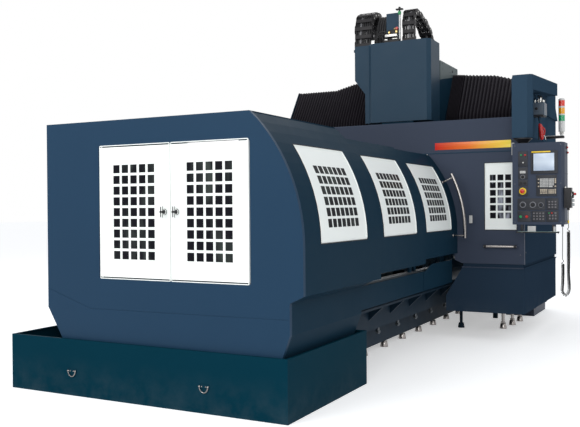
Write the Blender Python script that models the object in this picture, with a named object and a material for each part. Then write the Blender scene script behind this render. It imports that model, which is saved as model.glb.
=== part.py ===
"""Bridge-type CNC milling machine: a moving table on a long bed, under a bridge of two columns and a beam.

Axes: x to the right along the front, y towards the back along the table's travel, z up from the floor.
The origin is on the floor, in the table's centre plane, halfway along the coolant tank. Lengths in metres.
"""

import math

import bmesh
import bpy
from mathutils import Matrix, Vector

# Seats between touching pieces, clearances of moving ones, and sheet thicknesses
SEAT = 0.0003
RUNNING_GAP = 0.006
SHEET = 0.012
GLASS = 0.006

# Coolant and chip tank on the floor at the front
TANK_LEFT = 1.506
TANK_RIGHT = 0.940
TANK_DEPTH = 1.328
TANK_HEIGHT = 0.421
TANK_WALL = 0.006
TANK_RIM = 0.022
PULL_HEIGHT = 0.185
PULL_LEFT = 0.622
PULL_RIGHT = 0.642
PULL_RING = 0.034

# Splash guard round the front half of the table's travel
GUARD_SETBACK = 0.041
GUARD_LEFT = 1.160
GUARD_RIGHT = 1.037
GUARD_TOP = 2.040
ARC_RADIUS = 1.227
ARC_CENTRE_HEIGHT = 1.140
FRONT_WALL = 0.030
SIDE_BOTTOM = 0.823
STEP_IN = 0.100
STEP_DROP = 0.049
HOPPER_TURN = 0.564
HOPPER_FOOT = 0.340
HOPPER_LEAN = 0.085
LEFT_TURN = 0.647
LEFT_LEAN = 0.190
SKIRT_LENGTH = 1.193
FIXED_LENGTH = 1.361
MIDDLE_LENGTH = 1.182
LAP = 0.034
SECTION_RISE = 0.039
SLIDING_TOP = 1.966
TRACK_REACH = 0.088
RAIL_OFFSET = 0.042
RAIL_WIDTH = 0.020
RAIL_GAP = 0.015
RAIL_HEIGHT = 0.016
FRONT_SEAM = ((-1.152, 0.790), (-0.737, 0.655), (0.930, 0.668))
SEAM_WIDTH = 0.005
SEAM_DEPTH = 0.002

# Curved handle on the operator door
HANDLE_LOW = 1.066
HANDLE_HIGH = 1.689
HANDLE_PROUD = 0.085
HANDLE_RADIUS = 0.0145
HANDLE_SETBACK = 0.150
HANDLE_STANDS = (1.090, 1.657)

# Perforated white panels
HOLE_PITCH = 0.078
HOLE_SIZE = 0.060
PLATE = 0.004
PANEL_RECESS = 0.002
WINDOW_LENGTH = 0.815
WINDOW_LOW = 1.150
WINDOW_HIGH = 1.868
WINDOW_COLUMNS = 7
WINDOW_ROWS = 6
WINDOW_ROW_START = 0.105
WINDOW_SETS = (0.235, 0.149, 0.116)

# Double doors in the front wall
DOOR_HALF_WIDTH = 0.6385
DOOR_LOW = 0.897
DOOR_HIGH = 1.842
DOOR_THICK = 0.024
DOOR_GAP = 0.008
LEAF_GAP = 0.0025
DOOR_COLUMNS = 5
DOOR_ROWS = 9
DOOR_ROW_START = 0.131
PIVOT_PIN = 0.006
PIVOT_PLAY = 0.0005
PIN_REACH = 0.012
PIN_END_PLAY = 0.002
LATCH_OFFSET = 0.052
LATCH_CLEAR = 0.005
LATCH_HEIGHT = 1.370
LATCH_BAR = 0.018
LATCH_SPAN = 0.084

# Bed, table and way covers
BED_FRONT = 0.700
BED_BACK = 5.720
BED_BASE = 0.088
BED_HIP = 0.300
BED_HALF_FOOT = 0.540
BED_HALF_WALL = 0.690
BED_HALF_LEDGE = 0.860
BED_HALF_TOP = 0.520
BED_TOP = 0.620
LEDGE_LOW = 0.532
LEDGE_TOP = 0.588
LEDGE_LIP = 0.020
LEDGE_GROOVE = 0.012
WEB_LOW = 0.385
WEB_OFFSET = 0.120
WEB_THICK = 0.030
WAY_OFFSET = 0.380
WAY_WIDTH = 0.060
WAY_HEIGHT = 0.045
WAY_SETBACK = 0.040
GUARD_ARM_OFFSET = 0.600
GUARD_ARM_WIDTH = 0.060
GUARD_ARM_LOW = 0.470
GUARD_ARM_HEIGHT = 0.090
TROUGH_INNER = 0.640
TROUGH_LIP = 0.700
LEFT_TROUGH_RISE = 0.060
SHIELD_EDGE = ((2.100, 0.760), (2.350, 0.830))
SHIELD_PROUD = 0.004
COVER_STEPS = 5
COVER_HALF = 0.515
COVER_RISE = 0.120
COVER_WALL = 0.026
COVER_STEP_IN = 0.012
COVER_STEP_DOWN = 0.008
COVER_LAP = 0.030
FOOT_RADIUS = 0.040
FOOT_HEIGHT = 0.055
FOOT_PITCH = 0.531
FOOT_FIRST = 1.205
FOOT_ROWS = 9
FOOT_OFFSET = 0.470
TABLE_WIDTH = 1.100
TABLE_LENGTH = 2.200
TABLE_THICK = 0.160
TABLE_TOP = 0.900
TABLE_CENTRE = 3.350
SLOT_COUNT = 5
SLOT_PITCH = 0.180
SLOT_MOUTH = 0.018
SLOT_FOOT = 0.032
SLOT_NECK = 0.020
SLOT_DEPTH = 0.038
GUIDE_PLACES = (0.10, 0.36, 0.64, 0.90)
GUIDE_WIDTH = 0.140
GUIDE_LENGTH = 0.220

# Columns under the bridge, and the brackets that hold the covers
COLUMN_INNER = 0.950
COLUMN_INSET = 0.187
COLUMN_FRONT = 3.650
COLUMN_BACK = 4.650
COLUMN_LOW = 0.300
COLUMN_SHOULDER = 1.000
COLUMN_TAPER = 0.150
COLUMN_TOP = 2.050
COLUMN_FEET = ((-0.231, 3.806), (0.584, 3.933), (0.649, 4.242), (0.678, 4.590))
LUG_HALF = 0.060
LUG_DROP = 0.055
LUG_RISE = 0.040
BRACKET_HEIGHTS = (1.000, 1.800)
BRACKET_Y = 4.000
BRACKET_WIDTH = 0.080
SKIRT_BRACKET = 0.500

# Beam and its bellows
BEAM_INSET = 0.070
BEAM_FRONT = 3.860
BEAM_BACK = 4.520
BEAM_LOW = 2.080
BEAM_BEND = 2.430
BEAM_TOP = 2.800
BEAM_SLOPE = 0.280
BEAM_RAIL = 0.030
RAIL_FOOT = 0.020
RAIL_TALL = 0.050
UPPER_RAIL_BACK = 0.060
BELLOWS_PLEAT = 0.052
BELLOWS_DEPTH = 0.046
BELLOWS_VALLEY = 0.020
BELLOWS_LOW = 2.180
BELLOWS_INSET = 0.030
BELLOWS_REAR = 0.140
BELLOWS_TOPS = ((-1.0, 0.042), (-0.629, 0.042), (-0.443, 0.108), (0.464, 0.117), (0.821, 0.070), (1.0, 0.0))

# Covers round the bridge
CABIN_FRONT = 3.044
CABIN_HALF = 1.687
CABIN_BACK = 4.968
CABIN_SIDE_TOP = 2.120
COVER_LOW = 1.950
COVER_HIGH = 2.300
COVER_RETURN = 0.160
CABIN_ARCH_GAP = 0.040
PANEL_LOW = 0.795
PANEL_NICK = 0.066
PANEL_NICK_LOW = 0.830
PANEL_NICK_TOP = 0.930
LEFT_PANEL_LAP = 0.042
SKIRT_LEFT = 1.047
SKIRT_LOW = 0.287
SKIRT_INSET = 0.008
SKIRT_TOE = 0.871
SKIRT_TOE_TOP = 0.449
LIP_LOW = 0.748
LIP_TOP = 0.762
LIP_PROUD = 0.009
NECK_INSET = 0.010
CABIN_BAR_INSET = 0.067
CABIN_BAR_LENGTH = 0.335
CABIN_BAR_HEIGHT = 0.978
CABIN_BAR_PROUD = 0.045
CABIN_PLATE_INSET = 0.074
CABIN_PLATE_WIDTH = 0.3255
CABIN_PLATE_LOW = 1.1455
CABIN_PLATE_HIGH = 1.8370
CABIN_COLUMNS = 3
CABIN_ROW_START = 0.1185

# Carriage, head and cable chains
HEAD_CENTRE = 0.286
HEAD_HALF = 0.365
HEAD_FRONT = 3.236
HEAD_DEPTH = 0.350
HEAD_LOW = 2.343
HEAD_TOP = 3.236
HEAD_CHAMFER = 0.040
WING_REACH = 0.175
WING_LOW = 2.842
WING_ROOT = 2.680
WING_TOP = 3.232
PLATE_LEFT = 0.050
PLATE_RIGHT = 0.205
PLATE_TOP = 3.620
PLATE_SETBACK = 0.050
PLATE_THICK = 0.050
SADDLE_REACH = 0.050
SADDLE_INSET = 0.020
SADDLE_CLEAR = 0.010
SADDLE_LOW_TOP = 2.827
SADDLE_RAMP = 4.070
SADDLE_MID_TOP = 2.914
SADDLE_TOP = 2.950
RUNNER_LENGTH = 0.140
RUNNER_INSET = 0.050
REST_TOP = 2.905
HOUSING_INSET = 0.200
HOUSING_SETBACK = 0.034
HOUSING_TOP = 3.050
HOUSING_REAR = 0.040
RAM_WIDTH = 0.360
RAM_LOW = 1.420
RAM_SHIFT = 0.020
RAM_INSET = 0.020
SPINDLE_NOSE = (
    (0.100, 0.005),
    (0.100, -0.060),
    (0.064, -0.064),
    (0.064, -0.110),
    (0.044, -0.112),
    (0.044, -0.135),
)
CHAIN_THICK = 0.070
CHAIN_PITCH = 0.098
CHAIN_BAR = 0.45
CHAIN_SIDE = 0.14
CHAIN_LEFT = -0.335
CHAIN_FRONT = 3.450
LEFT_CHAIN_WIDTH = 0.220
LEFT_CHAIN = (
    (3.450, 3.232),
    (3.450, 3.460),
    (3.490, 3.600),
    (3.580, 3.675),
    (3.700, 3.695),
    (3.830, 3.660),
    (3.930, 3.560),
    (3.960, 3.420),
    (3.960, 2.905),
)
RIGHT_CHAIN_LEFT = 0.256
RIGHT_CHAIN_WIDTH = 0.148
RIGHT_CHAIN = (
    (3.450, 3.236),
    (3.450, 3.480),
    (3.480, 3.600),
    (3.590, 3.660),
    (3.800, 3.625),
    (4.000, 3.565),
    (4.170, 3.450),
    (4.270, 3.280),
    (4.280, 3.050),
)

# Pendant arm, the panel behind it, and the signal tower
ARM_LAP = 0.067
ARM_WIDTH = 0.185
ARM_FRONT = 2.800
ARM_LENGTH = 1.560
ARM_LOW = 2.062
ARM_TOP = 2.686
ARM_RISE = 0.105
ARM_POST = 0.120
ARM_BEVEL = (0.038, 0.077)
BAND_LOW_FRONT = 2.543
BAND_LOW_BACK = 2.653
PANEL_TOP = 2.760
STRIP_LOW = 2.421
STRIP_TOP = 2.570
STRIP_PROUD = 0.025
OILER_Y = 3.470
OILER_LENGTH = 0.175
OILER_REACH = 0.123
OILER_LOW = 2.346
OILER_TOP = 2.480
GUN_REACH = 0.071
GUN_Y = 3.550
GUN_TOP = 2.235
GUN_LOW = 2.080
TOWER_REACH = 0.175
TOWER_Y = 4.290
TOWER_RADIUS = 0.034
TOWER_FOOT = 2.185
TOWER_LOW = 2.226
TOWER_TOP = 2.598

# Pendant, its hand wheel and the cord
PENDANT_SIDESTEP = 0.020
PENDANT_WIDTH = 0.478
PENDANT_HEIGHT = 0.790
PENDANT_DEPTH = 0.250
PENDANT_TOP = 2.000
PENDANT_FORWARD = 0.080
PENDANT_BEVEL = (0.020, 0.065)
SWIVEL_SETBACK = 0.080
SWIVEL_RADIUS = 0.082
PANEL_RAISE = 0.004
PENDANT_PANELS = {
    "key_strip": (0.056, 0.272, 0.149, 0.711),
    "screen_bezel": (0.174, 0.487, 0.428, 0.711),
    "keypad": (0.225, 0.273, 0.418, 0.478),
}
PENDANT_KNOBS = (
    (0.099, 0.324, 0.020, 0.030),
    (0.100, 0.193, 0.018, 0.022),
    (0.194, 0.192, 0.018, 0.022),
    (0.270, 0.189, 0.018, 0.022),
)
SHELF_INSET = 0.055
SHELF_DROP = 0.080
SHELF_THICK = 0.012
SHELF_FORWARD = 0.020
SHELF_REACH = 0.120
STRAP_WIDTH = 0.018
WHEEL_LOW = 1.368
WHEEL_HEIGHT = 0.194
WHEEL_WIDTH = 0.090
WHEEL_DEPTH = 0.062
WHEEL_KNOBS = (
    (0.033, 0.012, 0.024),
    (0.072, 0.012, 0.024),
    (0.126, 0.030, 0.018),
    (0.132, 0.010, 0.040),
)
GLAND_INSET = 0.022
GLAND_RADIUS = 0.013
GLAND_DROP = 0.020
CORD_DIAMETER = 0.0065
CORD_STEP = 0.022
CURL_RADIUS = 0.017
CURL_HIGH = 1.160
CURL_LOW = 0.920
CORD_LOW = 0.515

# Guessed pieces at the back
REAR_LOW = 0.450
REAR_TOP = 1.900
REAR_REACH = 0.280
CABINET_FRONT = 5.060
CABINET_WIDTH = 0.390
CABINET_DEPTH = 0.820
CABINET_TOP = 1.850
PLINTH_HEIGHT = 0.100


def paint(name, colour, roughness, metallic=0.0):
    """A plain finish for one kind of surface."""
    finish = bpy.data.materials.new(name)
    finish.use_nodes = True
    shader = finish.node_tree.nodes["Principled BSDF"]
    shader.inputs["Base Color"].default_value = (*colour, 1)
    shader.inputs["Roughness"].default_value = roughness
    shader.inputs["Metallic"].default_value = metallic
    return finish


def clear_scene():
    for old in list(bpy.data.objects):
        bpy.data.objects.remove(old, do_unlink=True)


def solid(name, points, faces, finish):
    """One object from points and faces, with its faces turned outwards."""
    mesh = bpy.data.meshes.new(name)
    mesh.from_pydata([tuple(p) for p in points], [], faces)
    edit = bmesh.new()
    edit.from_mesh(mesh)
    bmesh.ops.recalc_face_normals(edit, faces=edit.faces)
    edit.to_mesh(mesh)
    edit.free()
    mesh.materials.append(finish)
    made = bpy.data.objects.new(name, mesh)
    bpy.context.scene.collection.objects.link(made)
    return made


def loft(name, rings, finish):
    """A closed body through rings of equally many points."""
    count = len(rings[0])
    points = [p for ring in rings for p in ring]
    faces = []
    for row in range(len(rings) - 1):
        for i in range(count):
            j = (i + 1) % count
            a = row * count
            faces.append((a + i, a + j, a + count + j, a + count + i))
    faces.append(tuple(range(count - 1, -1, -1)))
    last = (len(rings) - 1) * count
    faces.append(tuple(range(last, last + count)))
    return solid(name, points, faces, finish)


def prism(name, outline, along, start, end, finish):
    """An outline carried straight along x, y or z. Its two coordinates are the other two axes, in order."""

    def place(a, b, c):
        return {"x": (c, a, b), "y": (a, c, b), "z": (a, b, c)}[along]

    rings = [[place(a, b, c) for a, b in outline] for c in (start, end)]
    return loft(name, rings, finish)


def block(name, low, high, finish):
    outline = [(low[0], low[1]), (high[0], low[1]), (high[0], high[1]), (low[0], high[1])]
    return prism(name, outline, "z", low[2], high[2], finish)


def turned(name, profile, centre, finish, steps=16, axis="z"):
    """A profile of (radius, height) pairs, turned about an axis through the centre."""
    quarter = math.pi / 2
    turn = {"z": Matrix(), "x": Matrix.Rotation(quarter, 4, "Y"), "y": Matrix.Rotation(-quarter, 4, "X")}
    rings = []
    for radius, height in profile:
        ring = []
        for k in range(steps):
            angle = 2 * math.pi * k / steps
            spot = Vector((radius * math.cos(angle), radius * math.sin(angle), height))
            ring.append(turn[axis] @ spot + Vector(centre))
        rings.append(ring)
    made = loft(name, rings, finish)
    made.data.shade_smooth()
    made.data.set_sharp_from_angle(angle=math.radians(35))
    return made


def swept(name, path, radius, finish, sides=8):
    """A round bar along a list of points."""
    path = [Vector(p) for p in path]
    rings = []
    side = None
    for k, spot in enumerate(path):
        ahead = (path[min(k + 1, len(path) - 1)] - path[max(k - 1, 0)]).normalized()
        if side is None:
            side = ahead.orthogonal().normalized()
        side = (side - ahead * side.dot(ahead)).normalized()
        up = ahead.cross(side)
        ring = []
        for n in range(sides):
            angle = 2 * math.pi * n / sides
            ring.append(spot + radius * (math.cos(angle) * side + math.sin(angle) * up))
        rings.append(ring)
    made = loft(name, rings, finish)
    made.data.shade_smooth()
    made.data.set_sharp_from_angle(angle=math.radians(40))
    return made


def sheet(name, surface, u_stops, v_stops, is_open, thick, finish, backing=0.0):
    """A bent sheet with openings: surface(u, v, depth) gives a point, is_open(u, v) says which cells are cut.

    With a backing the cells are blind: a second layer of that thickness closes them from behind.
    """
    rows, columns = len(u_stops) - 1, len(v_stops) - 1
    u_middles = [(a + b) / 2 for a, b in zip(u_stops, u_stops[1:])]
    v_middles = [(a + b) / 2 for a, b in zip(v_stops, v_stops[1:])]
    filled = [[not is_open(u, v) for v in v_middles] for u in u_middles]
    points, index, faces = [], {}, []

    def corner(i, j, side):
        key = (i, j, side)
        if key not in index:
            index[key] = len(points)
            points.append(surface(u_stops[i], v_stops[j], (0, thick, thick + backing)[side]))
        return index[key]

    def inside(i, j):
        return 0 <= i < rows and 0 <= j < columns

    for i in range(rows):
        for j in range(columns):
            ring = [(i, j), (i + 1, j), (i + 1, j + 1), (i, j + 1)]
            if not filled[i][j]:
                if backing:
                    faces.append([corner(*spot, 1) for spot in ring])
                continue
            faces.append([corner(*spot, 0) for spot in ring])
            if not backing:
                faces.append([corner(*spot, 1) for spot in reversed(ring)])
            beside = [(i, j - 1), (i + 1, j), (i, j + 1), (i - 1, j)]
            for k in range(4):
                if inside(*beside[k]):
                    if filled[beside[k][0]][beside[k][1]]:
                        continue
                elif backing:
                    continue
                a, b = ring[k], ring[(k + 1) % 4]
                faces.append([corner(*b, 0), corner(*a, 0), corner(*a, 1), corner(*b, 1)])
    if backing:
        for i in range(rows):
            near = [corner(i, 0, 2), corner(i, columns, 2)]
            faces.append([*near, corner(i + 1, columns, 2), corner(i + 1, 0, 2)])
            for j in (0, columns):
                faces.append([corner(i, j, 0), corner(i, j, 2), corner(i + 1, j, 2), corner(i + 1, j, 0)])
        for i in (0, rows):
            edge = [corner(i, j, 0) for j in range(columns + 1)]
            faces.append([*edge, corner(i, columns, 2), corner(i, 0, 2)])
    return solid(name, points, faces, finish)


def combine(target, operation, *tools):
    """Joins tools to the target, or cuts them out of it. The tools stay as hidden guides."""
    for tool in tools:
        change = target.modifiers.new(tool.name, "BOOLEAN")
        change.operation = operation
        change.solver = "EXACT"
        change.object = tool
        tool.hide_render = True
        tool.hide_set(True)
        tool.display_type = "WIRE"
    return target


def join(target, *tools):
    return combine(target, "UNION", *tools)


def cut(target, *tools):
    return combine(target, "DIFFERENCE", *tools)


def stops(*values):
    """Sorted grid lines without repeats."""
    return sorted({round(v, 6) for v in values})


def between(low, high, count):
    return [low + (high - low) * k / count for k in range(count + 1)]


def smooth(points, step):
    """Points every step along a smooth curve through the given ones."""
    path = []
    knots = [points[0], *points, points[-1]]
    for k in range(1, len(knots) - 2):
        p0, p1, p2, p3 = knots[k - 1 : k + 3]
        count = max(1, round((p2 - p1).length / step))
        for n in range(count):
            t = n / count
            bend = 2 * p0 - 5 * p1 + 4 * p2 - p3
            turn = 3 * (p1 - p2) + p3 - p0
            path.append(0.5 * (2 * p1 + (p2 - p0) * t + bend * t**2 + turn * t**3))
    return [*path, points[-1]]


def hole_grid(start, count):
    """Edges of a row of square holes, and a test for being inside one."""
    edges = []
    for k in range(count):
        edges += [start + k * HOLE_PITCH, start + k * HOLE_PITCH + HOLE_SIZE]
    return edges


def in_grid(value, edges):
    return any(edges[k] < value < edges[k + 1] for k in range(0, len(edges), 2))


def grid_width(count):
    return (count - 1) * HOLE_PITCH + HOLE_SIZE


# Finishes
FRONT_BLUE = paint("front blue paint", (0.045, 0.085, 0.135), 0.38)
DEEP_BLUE = paint("deep blue paint", (0.012, 0.035, 0.055), 0.42)
CABIN_BLUE = paint("grey blue paint", (0.045, 0.058, 0.085), 0.40)
WHITE = paint("white paint", (0.78, 0.82, 0.76), 0.35)
LIGHT_GREY = paint("light grey paint", (0.35, 0.39, 0.38), 0.45)
BLACK = paint("black plastic", (0.015, 0.013, 0.016), 0.55)
STEEL = paint("bright steel", (0.55, 0.54, 0.52), 0.28, 1.0)
IRON = paint("painted casting", (0.016, 0.034, 0.052), 0.6)
RED = paint("red plastic", (0.7, 0.02, 0.02), 0.3)
SCREEN = paint("screen glass", (0.55, 0.66, 0.8), 0.15)

# Places worked out from the driving sizes
TANK_FRONT = -TANK_DEPTH / 2
TANK_BACK = TANK_DEPTH / 2
GUARD_FRONT = TANK_FRONT + GUARD_SETBACK
GUARD_INSIDE = GUARD_FRONT + FRONT_WALL
FIXED_END = GUARD_FRONT + FIXED_LENGTH
MIDDLE_END = FIXED_END + MIDDLE_LENGTH
ARC_CENTRE = GUARD_RIGHT - ARC_RADIUS
STEP_X = GUARD_RIGHT - STEP_IN
STEP_Z = SIDE_BOTTOM - STEP_DROP
NEST = SHEET + RUNNING_GAP
SKIRT_END = GUARD_FRONT + SKIRT_LENGTH
ROOF_SEAT = GUARD_TOP - SHEET - SEAT
RAIL_TOP = STEP_Z + RAIL_HEIGHT
COLUMN_OUTER = CABIN_HALF - COLUMN_INSET
FOOT_PLACES = [(COLUMN_INNER + part * (COLUMN_OUTER - COLUMN_INNER), y) for part, y in COLUMN_FEET]
BEAM_HALF = COLUMN_OUTER - BEAM_INSET
BELLOWS_END = BEAM_HALF - BELLOWS_INSET
CABIN_PLATE_RIGHT = CABIN_HALF - CABIN_PLATE_INSET
CABIN_PLATE_LEFT = CABIN_PLATE_RIGHT - CABIN_PLATE_WIDTH
CABIN_BAR_RIGHT = CABIN_HALF - CABIN_BAR_INSET
CABIN_BAR_LEFT = CABIN_BAR_RIGHT - CABIN_BAR_LENGTH
ARM_INNER = CABIN_HALF - ARM_LAP
ARM_END = ARM_FRONT + ARM_LENGTH
PENDANT_LEFT = ARM_INNER + PENDANT_SIDESTEP
PENDANT_RIGHT = PENDANT_LEFT + PENDANT_WIDTH
OILER_OUTER = CABIN_HALF + OILER_REACH
GUN_X = CABIN_HALF + GUN_REACH
TOWER_X = CABIN_HALF + TOWER_REACH


def arc_angle(height):
    return math.asin((height - ARC_CENTRE_HEIGHT) / ARC_RADIUS)


def side_length(height):
    """Distance up the guard's side, counted as height on the straight part and along the arc above it."""
    if height <= ARC_CENTRE_HEIGHT:
        return height
    return ARC_CENTRE_HEIGHT + ARC_RADIUS * arc_angle(height)


def side_point(length, inset):
    """Cross-section point (x, z) at a distance up the guard's side, moved in by inset."""
    if length <= ARC_CENTRE_HEIGHT:
        return GUARD_RIGHT - inset, length
    angle = (length - ARC_CENTRE_HEIGHT) / ARC_RADIUS
    reach = ARC_RADIUS - inset
    return ARC_CENTRE + reach * math.cos(angle), ARC_CENTRE_HEIGHT + reach * math.sin(angle)


def side_surface(inset):
    def surface(u, v, depth):
        x, z = side_point(u, inset + depth)
        return x, v, z

    return surface


def coolant_tank():
    """An open steel box with a folded rim."""
    outer_low = (-TANK_LEFT, TANK_FRONT, 0)
    outer_high = (TANK_RIGHT, TANK_BACK, TANK_HEIGHT)
    tank = block("coolant_tank", outer_low, outer_high, DEEP_BLUE)
    inner_low = (-TANK_LEFT + TANK_WALL, TANK_FRONT + TANK_WALL, TANK_WALL)
    inner_high = (TANK_RIGHT - TANK_WALL, TANK_BACK - TANK_WALL, TANK_HEIGHT - TANK_WALL)
    mouth_low = (-TANK_LEFT + TANK_RIM, TANK_FRONT + TANK_RIM, TANK_HEIGHT / 2)
    mouth_high = (TANK_RIGHT - TANK_RIM, TANK_BACK - TANK_RIM, TANK_HEIGHT + TANK_WALL)
    hollow = block("tank_hollow", inner_low, inner_high, DEEP_BLUE)
    mouth = block("tank_mouth", mouth_low, mouth_high, DEEP_BLUE)
    cut(tank, hollow, mouth)
    add_tank_pulls(tank)


def add_tank_pulls(tank):
    """Two drop rings on plates, on the tank's front."""
    plate_half, plate_high, plate_thick, bar = 0.042, 0.026, 0.005, 0.005
    for x in (-TANK_LEFT + PULL_LEFT, TANK_RIGHT - PULL_RIGHT):
        low = (x - plate_half, TANK_FRONT - plate_thick, PULL_HEIGHT - plate_high / 2)
        high = (x + plate_half, TANK_FRONT + TANK_WALL / 2, PULL_HEIGHT + plate_high / 2)
        centre = Vector((x, TANK_FRONT - plate_thick - bar * 0.6, PULL_HEIGHT))
        ring = []
        for angle in between(0, -math.pi, 10):
            ring.append(centre + Vector((PULL_RING * math.cos(angle), 0, 1.2 * PULL_RING * math.sin(angle))))
        join(tank, block("pull_plate", low, high, STEEL), swept("pull_bow", ring, bar, STEEL, 6))


def front_wall():
    """The folded front panel: flat left edge, arched right shoulder, stepped and tapered towards the tank."""
    top = side_length(GUARD_TOP)
    shoulder = [side_point(s, 0) for s in between(ARC_CENTRE_HEIGHT, top, 14)]
    outline = [
        (-GUARD_LEFT + LEFT_LEAN, HOPPER_FOOT),
        (STEP_X - HOPPER_LEAN, HOPPER_FOOT),
        (STEP_X, HOPPER_TURN),
        (STEP_X, STEP_Z),
        (GUARD_RIGHT, SIDE_BOTTOM),
        *shoulder,
        (-GUARD_LEFT, GUARD_TOP),
        (-GUARD_LEFT, LEFT_TURN),
    ]
    wall = prism("front_wall", outline, "y", GUARD_FRONT, GUARD_INSIDE, FRONT_BLUE)
    half = DOOR_HALF_WIDTH + DOOR_GAP
    low = (-half, GUARD_FRONT - SHEET, DOOR_LOW - DOOR_GAP)
    high = (half, GUARD_INSIDE + SHEET, DOOR_HIGH + DOOR_GAP)
    cut(wall, block("front_doorway", low, high, FRONT_BLUE))
    groove = [(x, z + SEAM_WIDTH / 2) for x, z in FRONT_SEAM]
    groove += [(x, z - SEAM_WIDTH / 2) for x, z in FRONT_SEAM[::-1]]
    cut(wall, prism("seam", groove, "y", GUARD_FRONT - SHEET, GUARD_FRONT + SEAM_DEPTH, FRONT_BLUE))
    for side in (-1, 1):
        for z in (DOOR_LOW - DOOR_GAP, DOOR_HIGH + DOOR_GAP):
            centre = (side * (DOOR_HALF_WIDTH - DOOR_THICK / 2), GUARD_FRONT + DOOR_THICK / 2, z)
            bore = PIVOT_PIN + PIVOT_PLAY
            cut(wall, turned("pivot_socket", [(bore, -PIN_REACH), (bore, PIN_REACH)], centre, STEEL, 12))


def roof():
    low = (-GUARD_LEFT, GUARD_INSIDE + SEAT, GUARD_TOP - SHEET)
    x_end, _ = side_point(side_length(GUARD_TOP), 0)
    high = (x_end, FIXED_END, GUARD_TOP)
    return block("guard_roof", low, high, DEEP_BLUE)


def left_wall():
    """The plain left side, one folded sheet from the front to the bridge, leaning in over the tank."""
    outer, inner = -GUARD_LEFT, -GUARD_LEFT + SHEET
    upright = [(outer, LEFT_TURN), (inner, LEFT_TURN), (inner, ROOF_SEAT), (outer, ROOF_SEAT)]
    wall = prism("left_guard_wall", upright, "y", GUARD_INSIDE + SEAT, CABIN_FRONT - SEAT, DEEP_BLUE)
    lean = [
        (outer, LEFT_TURN + SHEET),
        (outer, LEFT_TURN),
        (outer + LEFT_LEAN, HOPPER_FOOT),
        (inner + LEFT_LEAN, HOPPER_FOOT),
        (inner, LEFT_TURN),
        (inner, LEFT_TURN + SHEET),
    ]
    join(wall, prism("left_hopper", lean, "y", GUARD_INSIDE + SEAT, SKIRT_END, DEEP_BLUE))


def right_skirt():
    """The folded lower sheet on the right: soffit step, upright face with the track's shelf, hopper taper."""
    outline = [
        (GUARD_RIGHT, SIDE_BOTTOM - SEAT),
        (STEP_X, STEP_Z),
        (STEP_X, HOPPER_TURN),
        (STEP_X - HOPPER_LEAN, HOPPER_FOOT),
        (STEP_X - HOPPER_LEAN - SHEET, HOPPER_FOOT),
        (STEP_X - SHEET, HOPPER_TURN),
        (STEP_X - SHEET, STEP_Z - SHEET),
        (STEP_X - TRACK_REACH, STEP_Z - SHEET),
        (STEP_X - TRACK_REACH, STEP_Z),
        (STEP_X - SHEET, STEP_Z),
        (STEP_X - SHEET, STEP_Z + SHEET),
        (GUARD_RIGHT - 2 * SHEET, SIDE_BOTTOM - SEAT),
    ]
    prism("right_skirt", outline, "y", GUARD_INSIDE + SEAT, SKIRT_END, DEEP_BLUE)


def guard_section(name, inset, bottom, top, start, end, window_start, finish):
    """One curved side section with a window opening, and returns where its window is."""
    low, high = side_length(bottom), side_length(top)
    window_end = window_start + WINDOW_LENGTH
    u = stops(low, WINDOW_LOW, *between(WINDOW_LOW, WINDOW_HIGH, 9), *between(WINDOW_HIGH, high, 3))
    v = stops(start, window_start, window_end, end)

    def is_open(a, b):
        return WINDOW_LOW < a < WINDOW_HIGH and window_start < b < window_end

    return sheet(name, side_surface(inset), u, v, is_open, SHEET, finish)


def window_plate(name, inset, window_start):
    """The white perforated plate in a section's window opening, with the dark pane bonded behind it."""
    low, high = WINDOW_LOW + SEAT, WINDOW_HIGH - SEAT
    start, end = window_start + SEAT, window_start + WINDOW_LENGTH - SEAT
    column_edges = hole_grid((start + end - grid_width(WINDOW_COLUMNS)) / 2, WINDOW_COLUMNS)
    row_edges = hole_grid(low + WINDOW_ROW_START, WINDOW_ROWS)
    u = stops(low, high, *row_edges, *between(row_edges[-1], high, 3))
    v = stops(start, end, *column_edges)

    def is_open(a, b):
        return in_grid(a, row_edges) and in_grid(b, column_edges)

    return sheet(name, side_surface(inset + PANEL_RECESS), u, v, is_open, PLATE, WHITE, GLASS)


def rollers(section, inner_x, bottom, rail_x, start, end):
    """An inward flange under a sliding section, with two legs down to its rail."""
    low = (rail_x, start + 0.04, bottom)
    flange = block("flange", low, (inner_x + SHEET / 2, end - 0.04, bottom + SHEET), DEEP_BLUE)
    join(section, flange)
    for y in (start + 0.10, end - 0.16):
        foot = (rail_x, y, RAIL_TOP + SEAT)
        join(section, block("leg", foot, (rail_x + RAIL_WIDTH, y + 0.06, bottom + SHEET / 2), STEEL))


def side_guards():
    """The fixed section and the two that slide into it, each inside the one before."""
    plans = (
        ("fixed_guard", ROOF_SEAT, GUARD_INSIDE + SEAT, FIXED_END, WINDOW_SETS[0]),
        ("middle_guard", SLIDING_TOP, FIXED_END - LAP, MIDDLE_END, WINDOW_SETS[1]),
        ("operator_door", SLIDING_TOP, MIDDLE_END - LAP, CABIN_FRONT - RUNNING_GAP, WINDOW_SETS[2]),
    )
    for order, (name, top, start, end, window_offset) in enumerate(plans):
        inset = order * NEST
        bottom = SIDE_BOTTOM + order * SECTION_RISE
        window_start = start + window_offset
        section = guard_section(name, inset, bottom, top, start, end, window_start, DEEP_BLUE)
        window_plate(name + "_window", inset, window_start)
        if order:
            rail_x = STEP_X - RAIL_OFFSET - (order - 1) * (RAIL_WIDTH + RAIL_GAP)
            rollers(section, GUARD_RIGHT - inset - SHEET, bottom, rail_x, start, end)
        if name == "operator_door":
            add_door_handle(section, inset, end - HANDLE_SETBACK)


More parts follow.
